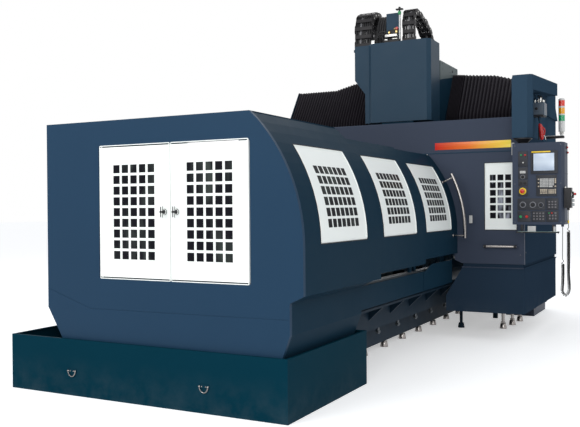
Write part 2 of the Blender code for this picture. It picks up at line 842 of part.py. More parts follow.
def add_door_handle(door, inset, y):
    """A bent tube that follows the door's curve, with free ends, on two thin stand-offs."""
    tube = []
    for s in between(side_length(HANDLE_LOW), side_length(HANDLE_HIGH), 10):
        x, z = side_point(s, -HANDLE_PROUD)
        tube.append((x, y, z))
    join(door, swept("handle", tube, HANDLE_RADIUS, STEEL, 10))
    for height in HANDLE_STANDS:
        s = side_length(height)
        near, far = side_point(s, inset + SHEET / 2), side_point(s, -HANDLE_PROUD)
        stand = [(near[0], y, near[1]), (far[0], y, far[1])]
        join(door, swept("stand_off", stand, HANDLE_RADIUS / 2, STEEL, 8))


def guard_track():
    """The twin rail that the two sliding sections run on."""
    left, right = STEP_X - TRACK_REACH + 0.002, STEP_X - SHEET - 0.002
    base, foot = STEP_Z + SEAT, STEP_Z + 0.006
    outline = [(left, base), (right, base), (right, foot)]
    for order in (0, 1):
        x = STEP_X - RAIL_OFFSET - order * (RAIL_WIDTH + RAIL_GAP)
        outline += [(x + RAIL_WIDTH, foot), (x + RAIL_WIDTH, RAIL_TOP), (x, RAIL_TOP), (x, foot)]
    outline.append((left, foot))
    prism("guard_track", outline, "y", GUARD_INSIDE + 2 * SEAT, CABIN_FRONT - SEAT, STEEL)


def front_door(name, side):
    """A white leaf with a rolled pivot edge and pins, a field of square holes, a dark pane and a T-latch."""
    half = DOOR_THICK / 2
    pivot_x = DOOR_HALF_WIDTH - half
    first = (DOOR_HALF_WIDTH - grid_width(DOOR_COLUMNS)) / 2 + LATCH_CLEAR
    column_edges = hole_grid(first, DOOR_COLUMNS)
    row_edges = hole_grid(DOOR_LOW + DOOR_ROW_START, DOOR_ROWS)

    def surface(u, v, depth):
        return side * v, GUARD_FRONT + depth, u

    def is_open(a, b):
        return in_grid(a, row_edges) and in_grid(b, column_edges)

    u = stops(DOOR_LOW, DOOR_HIGH, *row_edges)
    v = stops(LEAF_GAP, pivot_x, *column_edges)
    leaf = sheet(name, surface, u, v, is_open, DOOR_THICK - GLASS, WHITE, GLASS)
    hinge = (side * pivot_x, GUARD_FRONT + half, 0)
    edge = turned("rolled_edge", [(half, DOOR_LOW), (half, DOOR_HIGH)], hinge, WHITE, 16)
    reach = DOOR_GAP + PIN_REACH - PIN_END_PLAY
    pin_profile = [(PIVOT_PIN, DOOR_LOW - reach), (PIVOT_PIN, DOOR_HIGH + reach)]
    pin = turned("pivot_pin", pin_profile, hinge, STEEL, 12)
    knob = (side * LATCH_OFFSET, GUARD_FRONT, LATCH_HEIGHT)
    stem = [(0.020, 0.005), (0.020, -0.008), (0.012, -0.012), (0.012, -0.036)]
    latch = turned("latch", stem, knob, BLACK, 12, "y")
    bar_low = (knob[0] - LATCH_BAR / 2, GUARD_FRONT - 0.044, LATCH_HEIGHT - LATCH_SPAN / 2)
    bar_high = (knob[0] + LATCH_BAR / 2, GUARD_FRONT - 0.028, LATCH_HEIGHT + LATCH_SPAN / 2)
    join(leaf, edge, pin, latch, block("latch_bar", bar_low, bar_high, BLACK))


def levelling_foot(x, y, top):
    """A round pad with a bright barrel and a thinner neck, from the floor up into a casting."""
    neck = 0.45 * FOOT_RADIUS
    profile = [(FOOT_RADIUS, 0), (0.75 * FOOT_RADIUS, FOOT_HEIGHT), (neck, FOOT_HEIGHT + 0.003), (neck, top)]
    return turned("foot", profile, (x, y, 0), STEEL, 10)


def bed():
    """The bed casting: side ledges, gussets, ways, levelling feet, and arms that carry the front guard."""
    half = [
        (BED_HALF_FOOT, BED_BASE),
        (BED_HALF_FOOT, BED_HIP),
        (BED_HALF_WALL, BED_HIP),
        (BED_HALF_WALL, LEDGE_LOW),
        (BED_HALF_LEDGE, LEDGE_LOW),
        (BED_HALF_LEDGE, LEDGE_LOW + LEDGE_LIP),
        (BED_HALF_LEDGE - LEDGE_GROOVE, LEDGE_LOW + LEDGE_LIP),
        (BED_HALF_LEDGE - LEDGE_GROOVE, LEDGE_TOP - LEDGE_LIP),
        (BED_HALF_LEDGE, LEDGE_TOP - LEDGE_LIP),
        (BED_HALF_LEDGE, LEDGE_TOP),
        (BED_HALF_TOP + 0.040, LEDGE_TOP),
        (BED_HALF_TOP, BED_TOP),
    ]
    outline = half + [(-x, z) for x, z in reversed(half)]
    casting = prism("bed", outline, "y", BED_FRONT, BED_BACK, IRON)
    web_top = LEDGE_LOW + LEDGE_LIP / 4
    root, tip = BED_HALF_WALL - 0.010, BED_HALF_LEDGE - 0.020
    rib = [(root, WEB_LOW), (tip, web_top), (root, web_top)]
    for side in (-1, 1):
        x = side * WAY_OFFSET
        low = (x - WAY_WIDTH / 2, BED_FRONT + WAY_SETBACK, BED_TOP - 0.010)
        high = (x + WAY_WIDTH / 2, BED_BACK - WAY_SETBACK, BED_TOP + WAY_HEIGHT)
        join(casting, block("way", low, high, STEEL))
        x = side * GUARD_ARM_OFFSET
        arm_low = (x - GUARD_ARM_WIDTH / 2, GUARD_INSIDE + SEAT, GUARD_ARM_LOW)
        arm_high = (x + GUARD_ARM_WIDTH / 2, BED_FRONT + WAY_SETBACK, GUARD_ARM_LOW + GUARD_ARM_HEIGHT)
        join(casting, block("guard_arm", arm_low, arm_high, IRON))
    for row in range(FOOT_ROWS):
        y = FOOT_FIRST + row * FOOT_PITCH
        for side in (-1, 1):
            web_start = y + WEB_OFFSET
            web = prism("web", [(side * x, z) for x, z in rib], "y", web_start, web_start + WEB_THICK, IRON)
            join(casting, levelling_foot(side * FOOT_OFFSET, y, BED_BASE + 0.010), web)


def table():
    """The table with its T-slots, on four guide blocks per way."""
    half = TABLE_WIDTH / 2
    low, high = TABLE_TOP - TABLE_THICK, TABLE_TOP
    mouth, wide = SLOT_MOUTH / 2, SLOT_FOOT / 2
    shoulder, floor = high - SLOT_NECK, high - SLOT_DEPTH
    outline = [(-half, low), (half, low), (half, high)]
    for k in reversed(range(SLOT_COUNT)):
        x = (k - (SLOT_COUNT - 1) / 2) * SLOT_PITCH
        outline += [(x + mouth, high), (x + mouth, shoulder), (x + wide, shoulder), (x + wide, floor)]
        outline += [(x - wide, floor), (x - wide, shoulder), (x - mouth, shoulder), (x - mouth, high)]
    outline += [(-half, high)]
    start = TABLE_CENTRE - TABLE_LENGTH / 2
    top = prism("table", outline, "y", start, start + TABLE_LENGTH, STEEL)
    for side in (-1, 1):
        for place in GUIDE_PLACES:
            x, y = side * WAY_OFFSET, start + place * TABLE_LENGTH
            block_low = (x - GUIDE_WIDTH / 2, y - GUIDE_LENGTH / 2, BED_TOP + WAY_HEIGHT + SEAT)
            block_high = (x + GUIDE_WIDTH / 2, y + GUIDE_LENGTH / 2, low + 0.010)
            join(top, block("guide_block", block_low, block_high, STEEL))


def way_cover(name, fixed, moving):
    """A telescopic steel cover: channels over the ways, each a little smaller than the one before."""
    edges = between(fixed, moving, COVER_STEPS)
    lap = math.copysign(COVER_LAP, moving - fixed)
    parts = []
    for k in range(COVER_STEPS):
        shrink = COVER_STEPS - 1 - k
        half = COVER_HALF - COVER_STEP_IN * shrink
        high = BED_TOP + COVER_RISE - COVER_STEP_DOWN * shrink
        low = BED_TOP + SEAT
        inner, under = half - COVER_WALL, high - COVER_WALL
        outline = [(-half, low), (-inner, low), (-inner, under), (inner, under), (inner, low), (half, low)]
        outline += [(half, high), (-half, high)]
        end = edges[k + 1] + (lap if shrink else 0)
        parts.append(prism(f"cover_step_{k}" if k else name, outline, "y", edges[k], end, STEEL))
    join(*parts)


def chip_troughs():
    """Open channels on the bed's ledges that carry chips to the tank. The right one has the track's shelf."""
    floor = LEDGE_TOP + SEAT
    start, end = SKIRT_END + SEAT, CABIN_FRONT - SEAT
    inner, wall = TROUGH_INNER, SHEET / 2
    inner_side = [
        (inner + wall, floor + wall),
        (inner + wall, TROUGH_LIP),
        (inner, TROUGH_LIP),
        (inner, floor),
    ]
    right = [
        (STEP_X, floor),
        (STEP_X, STEP_Z),
        (STEP_X - TRACK_REACH, STEP_Z),
        (STEP_X - TRACK_REACH, STEP_Z - SHEET),
        (STEP_X - SHEET, STEP_Z - SHEET),
        (STEP_X - SHEET, floor + wall),
        *inner_side,
    ]
    trough = prism("right_chip_trough", right, "y", start, end, DEEP_BLUE)
    shield = [(y, z) for y, z in SHIELD_EDGE] + [(end, SHIELD_EDGE[-1][1]), (end, floor + wall)]
    shield.append((SHIELD_EDGE[0][0], floor + wall))
    join(trough, prism("shield", shield, "x", STEP_X - wall, STEP_X + SHIELD_PROUD, DEEP_BLUE))
    outer = GUARD_LEFT - SHEET - SEAT
    left = [
        (outer, floor),
        (outer, LEFT_TURN + LEFT_TROUGH_RISE),
        (outer - wall, LEFT_TURN + LEFT_TROUGH_RISE),
        (outer - wall, floor + wall),
        *inner_side,
    ]
    prism("left_chip_trough", [(-x, z) for x, z in left], "y", start, end, DEEP_BLUE)


def columns():
    """Two cast columns on levelling feet, the inner front foot under a lug, with the covers' brackets."""
    for name, side in (("right_column", 1), ("left_column", -1)):
        outline = [
            (COLUMN_FRONT, COLUMN_LOW),
            (COLUMN_BACK, COLUMN_LOW),
            (COLUMN_BACK, COLUMN_SHOULDER),
            (COLUMN_BACK - COLUMN_TAPER, COLUMN_TOP),
            (COLUMN_FRONT, COLUMN_TOP),
        ]
        x0, x1 = sorted((side * COLUMN_INNER, side * COLUMN_OUTER))
        column = prism(name, outline, "x", x0, x1, IRON)
        lug_x, lug_y = FOOT_PLACES[0]
        x0, x1 = sorted((side * (lug_x - LUG_HALF), side * (COLUMN_INNER + 0.010)))
        low = (x0, lug_y - LUG_HALF, COLUMN_LOW - LUG_DROP)
        join(column, block("lug", low, (x1, lug_y + LUG_HALF, COLUMN_LOW + LUG_RISE), IRON))
        for x, y in FOOT_PLACES:
            join(column, levelling_foot(side * x, y, COLUMN_LOW + 0.010))
        reach = side * (CABIN_HALF - FRONT_WALL - SEAT)
        middle = side * (COLUMN_OUTER + COLUMN_INNER) / 2
        for z in BRACKET_HEIGHTS:
            x0, x1 = sorted((side * (COLUMN_OUTER - 0.010), reach))
            high = (x1, BRACKET_Y + BRACKET_WIDTH, z + BRACKET_WIDTH)
            join(column, block("side_bracket", (x0, BRACKET_Y, z), high, IRON))
            low = (middle - BRACKET_WIDTH / 2, CABIN_FRONT + FRONT_WALL + SEAT, z)
            high = (middle + BRACKET_WIDTH / 2, COLUMN_FRONT + 0.010, z + BRACKET_WIDTH)
            join(column, block("front_bracket", low, high, IRON))
        x0, x1 = sorted((side * (COLUMN_OUTER - 0.010), side * (CABIN_HALF - SKIRT_INSET - SHEET - SEAT)))
        high = (x1, BRACKET_Y + BRACKET_WIDTH, SKIRT_BRACKET + BRACKET_WIDTH)
        join(column, block("skirt_bracket", (x0, BRACKET_Y, SKIRT_BRACKET), high, IRON))


def crossbeam():
    """The fixed beam: lower face upright, upper one slanting back, with guide rails and end frames."""
    outline = [
        (BEAM_FRONT, BEAM_LOW),
        (BEAM_BACK, BEAM_LOW),
        (BEAM_BACK, BEAM_TOP),
        (BEAM_FRONT + BEAM_SLOPE, BEAM_TOP),
        (BEAM_FRONT, BEAM_BEND),
    ]
    beam = prism("crossbeam", outline, "x", -BEAM_HALF, BEAM_HALF, IRON)
    rail = BELLOWS_END + SHEET
    low = (-rail, BEAM_FRONT - BEAM_RAIL, BEAM_LOW + RAIL_FOOT)
    high = (rail, BEAM_FRONT + 0.010, BEAM_LOW + RAIL_FOOT + RAIL_TALL)
    join(beam, block("lower_rail", low, high, STEEL))
    low = (-rail, BEAM_BACK - UPPER_RAIL_BACK - RAIL_TALL, BEAM_TOP - 0.010)
    high = (rail, BEAM_BACK - UPPER_RAIL_BACK, BEAM_TOP + BEAM_RAIL)
    join(beam, block("upper_rail", low, high, STEEL))
    for side in (-1, 1):
        x0, x1 = sorted((side * (COLUMN_INNER + 0.010), side * (BEAM_HALF - 0.010)))
        low = (x0, BEAM_FRONT + 0.020, COLUMN_TOP + SEAT)
        join(beam, block("beam_seat", low, (x1, BEAM_BACK - 0.040, BEAM_LOW + 0.010), IRON))
        x0, x1 = sorted((side * (BELLOWS_END + SEAT), side * (BELLOWS_END + SHEET)))
        skin = bellows_section(x0, -0.010, BELLOWS_DEPTH)
        frame = [[(x, y, z) for _, y, z in skin] for x in (x0, x1)]
        join(beam, loft("bellows_frame", frame, IRON))
    low = (BEAM_HALF - 0.010, BRACKET_Y, BEAM_LOW + 0.120)
    high = (CABIN_HALF - SHEET - SEAT, BRACKET_Y + 2 * BRACKET_WIDTH, BEAM_LOW + 0.320)
    join(beam, block("panel_bracket", low, high, IRON))


def bellows_rise(x):
    """How far the pleats stand above the beam at x: they bunch up by the carriage and sag at the ends."""
    part = x / BELLOWS_END
    for (part0, rise0), (part1, rise1) in zip(BELLOWS_TOPS, BELLOWS_TOPS[1:]):
        if part <= part1:
            return rise0 + (rise1 - rise0) * max(0.0, part - part0) / (part1 - part0)
    return BELLOWS_TOPS[-1][1]


def bellows_section(x, inner_gap, outer_gap):
    """The cross-section of a thin cover that follows the beam's front, slant and top."""

    def skin(gap, rise):
        slope = BEAM_SLOPE / (BEAM_TOP - BEAM_BEND)
        turn = gap * (math.sqrt(1 + slope * slope) - slope)
        front, top = BEAM_FRONT - gap, BEAM_TOP + gap + rise
        return [
            (x, front, BELLOWS_LOW),
            (x, front, BEAM_BEND + gap * 0.3),
            (x, BEAM_FRONT + BEAM_SLOPE - turn, top),
            (x, BEAM_BACK - BELLOWS_REAR, top),
        ]

    return skin(inner_gap, 0.0) + skin(outer_gap, bellows_rise(x))[::-1]


def bellows(name, start, end):
    """A pleated cover along x: its outer line steps out and in, twice a pleat."""
    count = 2 * max(2, round(abs(end - start) / BELLOWS_PLEAT))
    rings = []
    for k, x in enumerate(between(start, end, count)):
        rings.append(bellows_section(x, 0.004, BELLOWS_DEPTH if k % 2 else BELLOWS_VALLEY))
    return loft(name, rings, BLACK)


def carriage():
    """The saddle on the beam, the head cover in front of it and the ram that comes down through it."""
    left, right = HEAD_CENTRE - HEAD_HALF, HEAD_CENTRE + HEAD_HALF
    front, back = HEAD_FRONT, HEAD_FRONT + HEAD_DEPTH
    c = HEAD_CHAMFER
    main = [(left, back), (left, front + c), (left + c, front)]
    main += [(right - c, front), (right, front + c), (right, back)]
    head = prism("head_cover", main, "z", HEAD_LOW, HEAD_TOP, FRONT_BLUE)
    wing_left = left - WING_REACH
    wing = [
        (left + 0.020, WING_TOP),
        (wing_left, WING_TOP),
        (wing_left, WING_LOW),
        (left - SADDLE_REACH, WING_ROOT),
        (left - SADDLE_REACH, HEAD_LOW),
        (left + 0.020, HEAD_LOW),
    ]
    shelf_low = (CHAIN_LEFT, CHAIN_FRONT - 0.010, WING_TOP - 0.030)
    shelf = block("chain_shelf", shelf_low, (wing_left + 0.010, back, WING_TOP), FRONT_BLUE)
    plate_y = CHAIN_FRONT + PLATE_SETBACK
    plate_low = (PLATE_LEFT, plate_y, HEAD_TOP - 0.010)
    plate = block("service_plate", plate_low, (PLATE_RIGHT, plate_y + PLATE_THICK, PLATE_TOP), FRONT_BLUE)
    join(head, prism("head_wing", wing, "y", front + c, back, FRONT_BLUE), shelf, plate)
    saddle_back = BEAM_BACK - SADDLE_INSET
    clear = BELLOWS_DEPTH + SADDLE_CLEAR
    ramp = [(back + SEAT, SADDLE_LOW_TOP), (SADDLE_RAMP, SADDLE_MID_TOP), (saddle_back, SADDLE_TOP)]
    saddle_outline = [
        (back + SEAT, BEAM_LOW + 0.010),
        (BEAM_FRONT - clear, BEAM_LOW + 0.010),
        (BEAM_FRONT - clear, BEAM_BEND + 0.010),
        (BEAM_FRONT + BEAM_SLOPE - clear * 0.65, BEAM_TOP + clear),
        (saddle_back, BEAM_TOP + clear),
        *reversed(ramp),
    ]
    saddle = prism("saddle", saddle_outline, "x", left - SADDLE_REACH, right, DEEP_BLUE)
    rail_low, rail_back = BEAM_LOW + RAIL_FOOT, BEAM_BACK - UPPER_RAIL_BACK
    for x in (left - SADDLE_REACH + RUNNER_INSET, right - RUNNER_LENGTH - RUNNER_INSET):
        low = (x, BEAM_FRONT - clear - 0.010, rail_low - 0.005)
        high = (x + RUNNER_LENGTH, BEAM_FRONT - BEAM_RAIL - SEAT, rail_low + RAIL_TALL + 0.005)
        join(saddle, block("lower_runner", low, high, STEEL))
        low = (x, rail_back - RAIL_TALL - 0.005, BEAM_TOP + BEAM_RAIL + SEAT)
        high = (x + RUNNER_LENGTH, rail_back + 0.005, BEAM_TOP + clear + 0.010)
        join(saddle, block("upper_runner", low, high, STEEL))
    back_strand = LEFT_CHAIN[-1][0]
    rest_low = (CHAIN_LEFT, back_strand - CHAIN_THICK - 0.010, REST_TOP - 0.080)
    rest_high = (left - SADDLE_REACH + 0.010, back_strand + 0.010, REST_TOP)
    join(saddle, block("chain_rest", rest_low, rest_high, DEEP_BLUE))
    housing_front, housing_back = back + HOUSING_SETBACK, RIGHT_CHAIN[-1][0] + HOUSING_REAR

    def ramp_height(y):
        part = (y - ramp[0][0]) / (ramp[1][0] - ramp[0][0])
        return ramp[0][1] + part * (ramp[1][1] - ramp[0][1])

    def rear_height(y):
        part = (y - ramp[1][0]) / (ramp[2][0] - ramp[1][0])
        return ramp[1][1] + part * (ramp[2][1] - ramp[1][1])

    housing = [
        (housing_front, ramp_height(housing_front) + SEAT),
        (ramp[1][0], ramp[1][1] + SEAT),
        (housing_back, rear_height(housing_back) + SEAT),
        (housing_back, HOUSING_TOP),
        (housing_front, HOUSING_TOP),
    ]
    prism("drive_housing", housing, "x", left + HOUSING_INSET, right, LIGHT_GREY)
    x = HEAD_CENTRE - RAM_SHIFT
    ram_low = (x - RAM_WIDTH / 2, front + RAM_INSET, RAM_LOW)
    ram = block("ram", ram_low, (x + RAM_WIDTH / 2, back - RAM_INSET, HEAD_LOW - SEAT), STEEL)
    join(ram, turned("spindle_nose", SPINDLE_NOSE, (x, (front + back) / 2, RAM_LOW), STEEL, 20))


def cable_chain(name, left, width, knots):
    """A cable chain standing in an arch: two rows of side plates with open windows between the cross bars.

    The knots are (y, z) points of its outer side, from the front foot, over the arch, to the back one.
    """
    route = smooth([Vector((0, y, z)) for y, z in knots], CHAIN_PITCH / 3)
    reach = [0.0]
    for a, b in zip(route, route[1:]):
        reach.append(reach[-1] + (b - a).length)

    def spot(distance):
        k = 0
        while k < len(route) - 2 and reach[k + 1] < distance:
            k += 1
        along = (route[k + 1] - route[k]).normalized()
        return route[k] + along * (distance - reach[k])

    def surface(u, v, depth):
        step = CHAIN_PITCH / 4
        along = (spot(min(u + step, reach[-1])) - spot(max(u - step, 0.0))).normalized()
        inward = Vector((0, along.z, -along.y))
        if u in (u_stops[0], u_stops[-1]):
            inward = Vector((0, math.copysign(1, inward.y), 0))
        place = spot(u) + depth * inward
        return v, place.y, place.z

    count = round(reach[-1] / CHAIN_PITCH)
    pitch = reach[-1] / count
    bar = CHAIN_BAR * pitch
    side = CHAIN_SIDE * width
    u_stops = stops(reach[-1], *(k * pitch + part for k in range(count) for part in (0, bar)))
    v_stops = stops(left, left + side, left + width - side, left + width)

    def is_open(a, b):
        return a % pitch > bar and left + side < b < left + width - side

    sheet(name, surface, u_stops, v_stops, is_open, CHAIN_THICK, BLACK)


def cabin_panel():
    """The right front cover: its left edge follows the guard's curve, with a bar handle and a window."""
    front, back = CABIN_FRONT, CABIN_FRONT + FRONT_WALL
    inset = 2 * NEST + SHEET + CABIN_ARCH_GAP
    top = side_length(COVER_LOW) - 0.020
    arch = [side_point(s, inset) for s in between(ARC_CENTRE_HEIGHT, top, 8)]
    outline = [
        (CABIN_HALF, PANEL_LOW),
        (CABIN_HALF, COVER_LOW - SEAT),
        (arch[-1][0], COVER_LOW - SEAT),
        *reversed(arch[:-1]),
        (arch[0][0], PANEL_NICK_TOP),
        (GUARD_RIGHT - PANEL_NICK, PANEL_NICK_LOW + 0.020),
        (GUARD_RIGHT - PANEL_NICK, PANEL_NICK_LOW),
        (SKIRT_LEFT, PANEL_LOW),
    ]
    panel = prism("right_cabin_front", outline, "y", front, back, CABIN_BLUE)
    low = (CABIN_PLATE_LEFT, front - SHEET, CABIN_PLATE_LOW)
    high = (CABIN_PLATE_RIGHT, back + SHEET, CABIN_PLATE_HIGH)
    cut(panel, block("cabin_opening", low, high, WHITE))
    bar = [(CABIN_BAR_LEFT, front + 0.005), (CABIN_BAR_LEFT, front - CABIN_BAR_PROUD)]
    bar += [(CABIN_BAR_RIGHT, front - CABIN_BAR_PROUD), (CABIN_BAR_RIGHT, front + 0.005)]
    join(panel, swept("cabin_bar", [(x, y, CABIN_BAR_HEIGHT) for x, y in bar], 0.012, BLACK, 8))


def cabin_window():
    """The white perforated plate in the right front cover."""
    width = CABIN_PLATE_RIGHT - CABIN_PLATE_LEFT
    column_edges = hole_grid(CABIN_PLATE_LEFT + (width - grid_width(CABIN_COLUMNS)) / 2, CABIN_COLUMNS)
    row_edges = hole_grid(CABIN_PLATE_LOW + CABIN_ROW_START, WINDOW_ROWS)
    u = stops(CABIN_PLATE_LOW + SEAT, CABIN_PLATE_HIGH - SEAT, *row_edges)
    v = stops(CABIN_PLATE_LEFT + SEAT, CABIN_PLATE_RIGHT - SEAT, *column_edges)

    def surface(a, b, depth):
        return b, CABIN_FRONT + PANEL_RECESS + depth, a

    def is_open(a, b):
        return in_grid(a, row_edges) and in_grid(b, column_edges)

    sheet("cabin_window", surface, u, v, is_open, PLATE, WHITE, GLASS)


def angle_sheet(name, side, start_x, offset, low, high):
    """A sheet along the front that turns back along the side, pushed out by offset, between two heights."""
    y0, x1 = CABIN_FRONT + SKIRT_INSET - offset, CABIN_HALF - SKIRT_INSET + offset
    outline = [(start_x, y0), (x1, y0), (x1, CABIN_BACK), (x1 - SHEET, CABIN_BACK), (x1 - SHEET, y0 + SHEET)]
    outline.append((start_x, y0 + SHEET))
    return prism(name, [(side * x, y) for x, y in outline], "z", low, high, CABIN_BLUE)


def cabin_skirt(name, side, lip_start):
    """The lower cover: a sheet with a slanted corner, a lip round its top and a set-back neck above that."""
    edge = CABIN_HALF - SKIRT_INSET
    outline = [
        (SKIRT_TOE, SKIRT_LOW),
        (edge, SKIRT_LOW),
        (edge, LIP_LOW + 0.005),
        (SKIRT_LEFT, LIP_LOW + 0.005),
        (SKIRT_LEFT, LIP_LOW),
        (SKIRT_TOE, SKIRT_TOE_TOP),
    ]
    skirt_front = CABIN_FRONT + SKIRT_INSET
    outline = [(side * x, z) for x, z in outline]
    skirt = prism(name, outline, "y", skirt_front, skirt_front + SHEET, CABIN_BLUE)
    x0, x1 = sorted((side * edge, side * (edge - SHEET)))
    wing = block("wing", (x0, skirt_front + 0.002, SKIRT_LOW), (x1, CABIN_BACK, LIP_LOW + 0.005), CABIN_BLUE)
    lip = angle_sheet("lip", side, lip_start, LIP_PROUD, LIP_LOW, LIP_TOP)
    neck = angle_sheet("neck", side, SKIRT_LEFT + 0.010, -NECK_INSET, LIP_LOW - 0.005, PANEL_LOW - SEAT)
    join(skirt, wing, lip, neck)


def cabin():
    """The sheet-metal covers round the columns and along the beam's front."""
    front, back = CABIN_FRONT, CABIN_FRONT + FRONT_WALL
    cabin_panel()
    cabin_window()
    left_low = (-CABIN_HALF, front, PANEL_LOW)
    block("left_cabin_front", left_low, (-GUARD_LEFT + LEFT_PANEL_LAP, back, COVER_LOW - SEAT), CABIN_BLUE)
    cover = [
        (front, COVER_LOW),
        (back, COVER_LOW),
        (back, COVER_HIGH - FRONT_WALL),
        (front + COVER_RETURN, COVER_HIGH - FRONT_WALL),
        (front + COVER_RETURN, COVER_HIGH),
        (front + 0.010, COVER_HIGH),
        (front, COVER_HIGH - 0.010),
    ]
    prism("beam_cover", cover, "x", -CABIN_HALF, CABIN_HALF, CABIN_BLUE)
    for name, side in (("right_cabin_side", 1), ("left_cabin_side", -1)):
        x0, x1 = sorted((side * CABIN_HALF, side * (CABIN_HALF - FRONT_WALL)))
        block(name, (x0, back + SEAT, PANEL_LOW), (x1, CABIN_BACK, CABIN_SIDE_TOP), DEEP_BLUE)
    cabin_skirt("right_cabin_skirt", 1, SKIRT_LEFT)
    cabin_skirt("left_cabin_skirt", -1, GUARD_LEFT + 0.010)


def pendant_arm():
    """An arm from the bridge's right side: a bevelled post in front, under a band that rises to the back."""
    start, end = ARM_FRONT, ARM_END
    outer = ARM_INNER + ARM_WIDTH
    outline = [
        (start, ARM_LOW),
        (start + ARM_POST, ARM_LOW),
        (start + ARM_POST, BAND_LOW_FRONT),
        (end, BAND_LOW_BACK),
        (end, ARM_TOP + ARM_RISE),
        (start + 0.040, ARM_TOP),
        (start, ARM_TOP - 0.047),
    ]
    arm = prism("pendant_arm", outline, "x", ARM_INNER, outer, DEEP_BLUE)
    bevel_x, bevel_y = ARM_BEVEL
    corner = [
        (outer - 1.2 * bevel_x, start - 0.2 * bevel_y),
        (outer + 0.2 * bevel_x, start - 0.2 * bevel_y),
        (outer + 0.2 * bevel_x, start + 1.2 * bevel_y),
    ]
    cut(arm, prism("bevel", corner, "z", ARM_LOW - SHEET, ARM_TOP + SHEET, DEEP_BLUE))


def upper_side():
    """The panel behind the arm, with its slanted strip, the lubricator and the air gun's core."""
    slope = (BAND_LOW_BACK - BAND_LOW_FRONT) / (ARM_LENGTH - ARM_POST)
    start = CABIN_FRONT + COVER_RETURN + SEAT
    under = BAND_LOW_FRONT + slope * (start - ARM_FRONT - ARM_POST) - SEAT
    outline = [
        (start, CABIN_SIDE_TOP + SEAT),
        (CABIN_BACK, CABIN_SIDE_TOP + SEAT),
        (CABIN_BACK, PANEL_TOP),
        (ARM_END + SEAT, PANEL_TOP),
        (ARM_END + SEAT, BAND_LOW_BACK - SEAT),
        (ARM_END, BAND_LOW_BACK - SEAT),
        (start, under),
    ]
    panel = prism("upper_cabin_side", outline, "x", CABIN_HALF - SHEET, CABIN_HALF, DEEP_BLUE)
    strip = [
        (CABIN_HALF - 0.005, STRIP_LOW),
        (CABIN_HALF + STRIP_PROUD, STRIP_LOW),
        (CABIN_HALF + 0.003, STRIP_TOP),
        (CABIN_HALF - 0.005, STRIP_TOP),
    ]
    join(panel, prism("strip", strip, "y", OILER_Y + OILER_LENGTH - 0.010, CABIN_BACK - 0.010, DEEP_BLUE))
    low = (CABIN_HALF - 0.005, OILER_Y, OILER_LOW)
    oiler = block("oiler", low, (OILER_OUTER, OILER_Y + OILER_LENGTH, OILER_TOP), STEEL)
    core = [(GUN_X - 0.008, GUN_Y, OILER_LOW + 0.010), (GUN_X, GUN_Y, GUN_TOP)]
    core.append((GUN_X + 0.030, GUN_Y, GUN_LOW))
    join(panel, oiler, swept("gun_core", core, 0.011, RED, 8))


def signal_tower():
    """The lamp column on its elbow bracket, on the panel behind the arm."""
    x, y = TOWER_X, TOWER_Y
    neck = 0.53 * TOWER_RADIUS
    profile = [(neck, TOWER_FOOT), (neck, TOWER_LOW), (TOWER_RADIUS, TOWER_LOW + 0.006)]
    profile += [(TOWER_RADIUS, TOWER_TOP), (0.7 * TOWER_RADIUS, TOWER_TOP + 0.012)]
    tower = turned("signal_tower", profile, (x, y, 0), WHITE, 16)
    low = (CABIN_HALF + SEAT, y - 0.028, TOWER_FOOT - 0.024)
    join(tower, block("elbow", low, (x + 0.022, y + 0.028, TOWER_FOOT + 0.004), BLACK))


def handwheel_line():
    """The y of the hand wheel and its cord, a little in front of the box's middle."""
    return ARM_FRONT - 0.005


def pendant():
    """The control pendant under the arm's post: swivel, box with its panels and knobs, and a shelf below."""
    axis = (ARM_INNER + ARM_WIDTH / 2, ARM_FRONT + SWIVEL_SETBACK, 0)
    neck = 0.55 * SWIVEL_RADIUS
    cone = [
        (neck, PENDANT_TOP + SEAT),
        (neck, PENDANT_TOP + 0.012),
        (SWIVEL_RADIUS, ARM_LOW - 0.012),
        (SWIVEL_RADIUS, ARM_LOW - SEAT),
    ]
    turned("pendant_swivel", cone, axis, BLACK, 24)
    left, right, front = PENDANT_LEFT, PENDANT_RIGHT, ARM_FRONT - PENDANT_FORWARD
    bottom, back = PENDANT_TOP - PENDANT_HEIGHT, front + PENDANT_DEPTH
    bevel_x, bevel_y = PENDANT_BEVEL
    outline = [(left, front), (right - bevel_x, front), (right, front + bevel_y), (right, back), (left, back)]
    box = prism("pendant_box", outline, "z", bottom, PENDANT_TOP, CABIN_BLUE)
    raised = front - PANEL_RAISE
    for name, (x0, z0, x1, z1) in PENDANT_PANELS.items():
        low = (left + x0, raised, bottom + z0)
        join(box, block(name, low, (left + x1, front + 0.004, bottom + z1), SCREEN))
    for x, z, radius, reach in PENDANT_KNOBS:
        knob = [(radius, 0.004 + PANEL_RAISE), (radius, 0.0), (radius * 0.85, -reach)]
        join(box, turned("knob", knob, (left + x, raised, bottom + z), BLACK, 12, "y"))
    gland = (right - GLAND_INSET, handwheel_line(), bottom)
    join(box, turned("gland", [(GLAND_RADIUS, 0.004), (GLAND_RADIUS, -GLAND_DROP)], gland, BLACK, 12))
    shelf_low = (left + SHELF_INSET, front - SHELF_FORWARD, bottom - SHELF_DROP)
    shelf_high = (right - SHELF_INSET, front + SHELF_REACH, bottom - SHELF_DROP + SHELF_THICK)
    join(box, block("shelf", shelf_low, shelf_high, SCREEN))
    for x in (shelf_low[0] + SHELF_INSET / 2, shelf_high[0] - SHELF_INSET / 2 - STRAP_WIDTH):
        low = (x, front + 0.004, shelf_low[2] + 0.004)
        join(box, block("shelf_strap", low, (x + STRAP_WIDTH, front + 0.010, bottom + 0.006), BLACK))


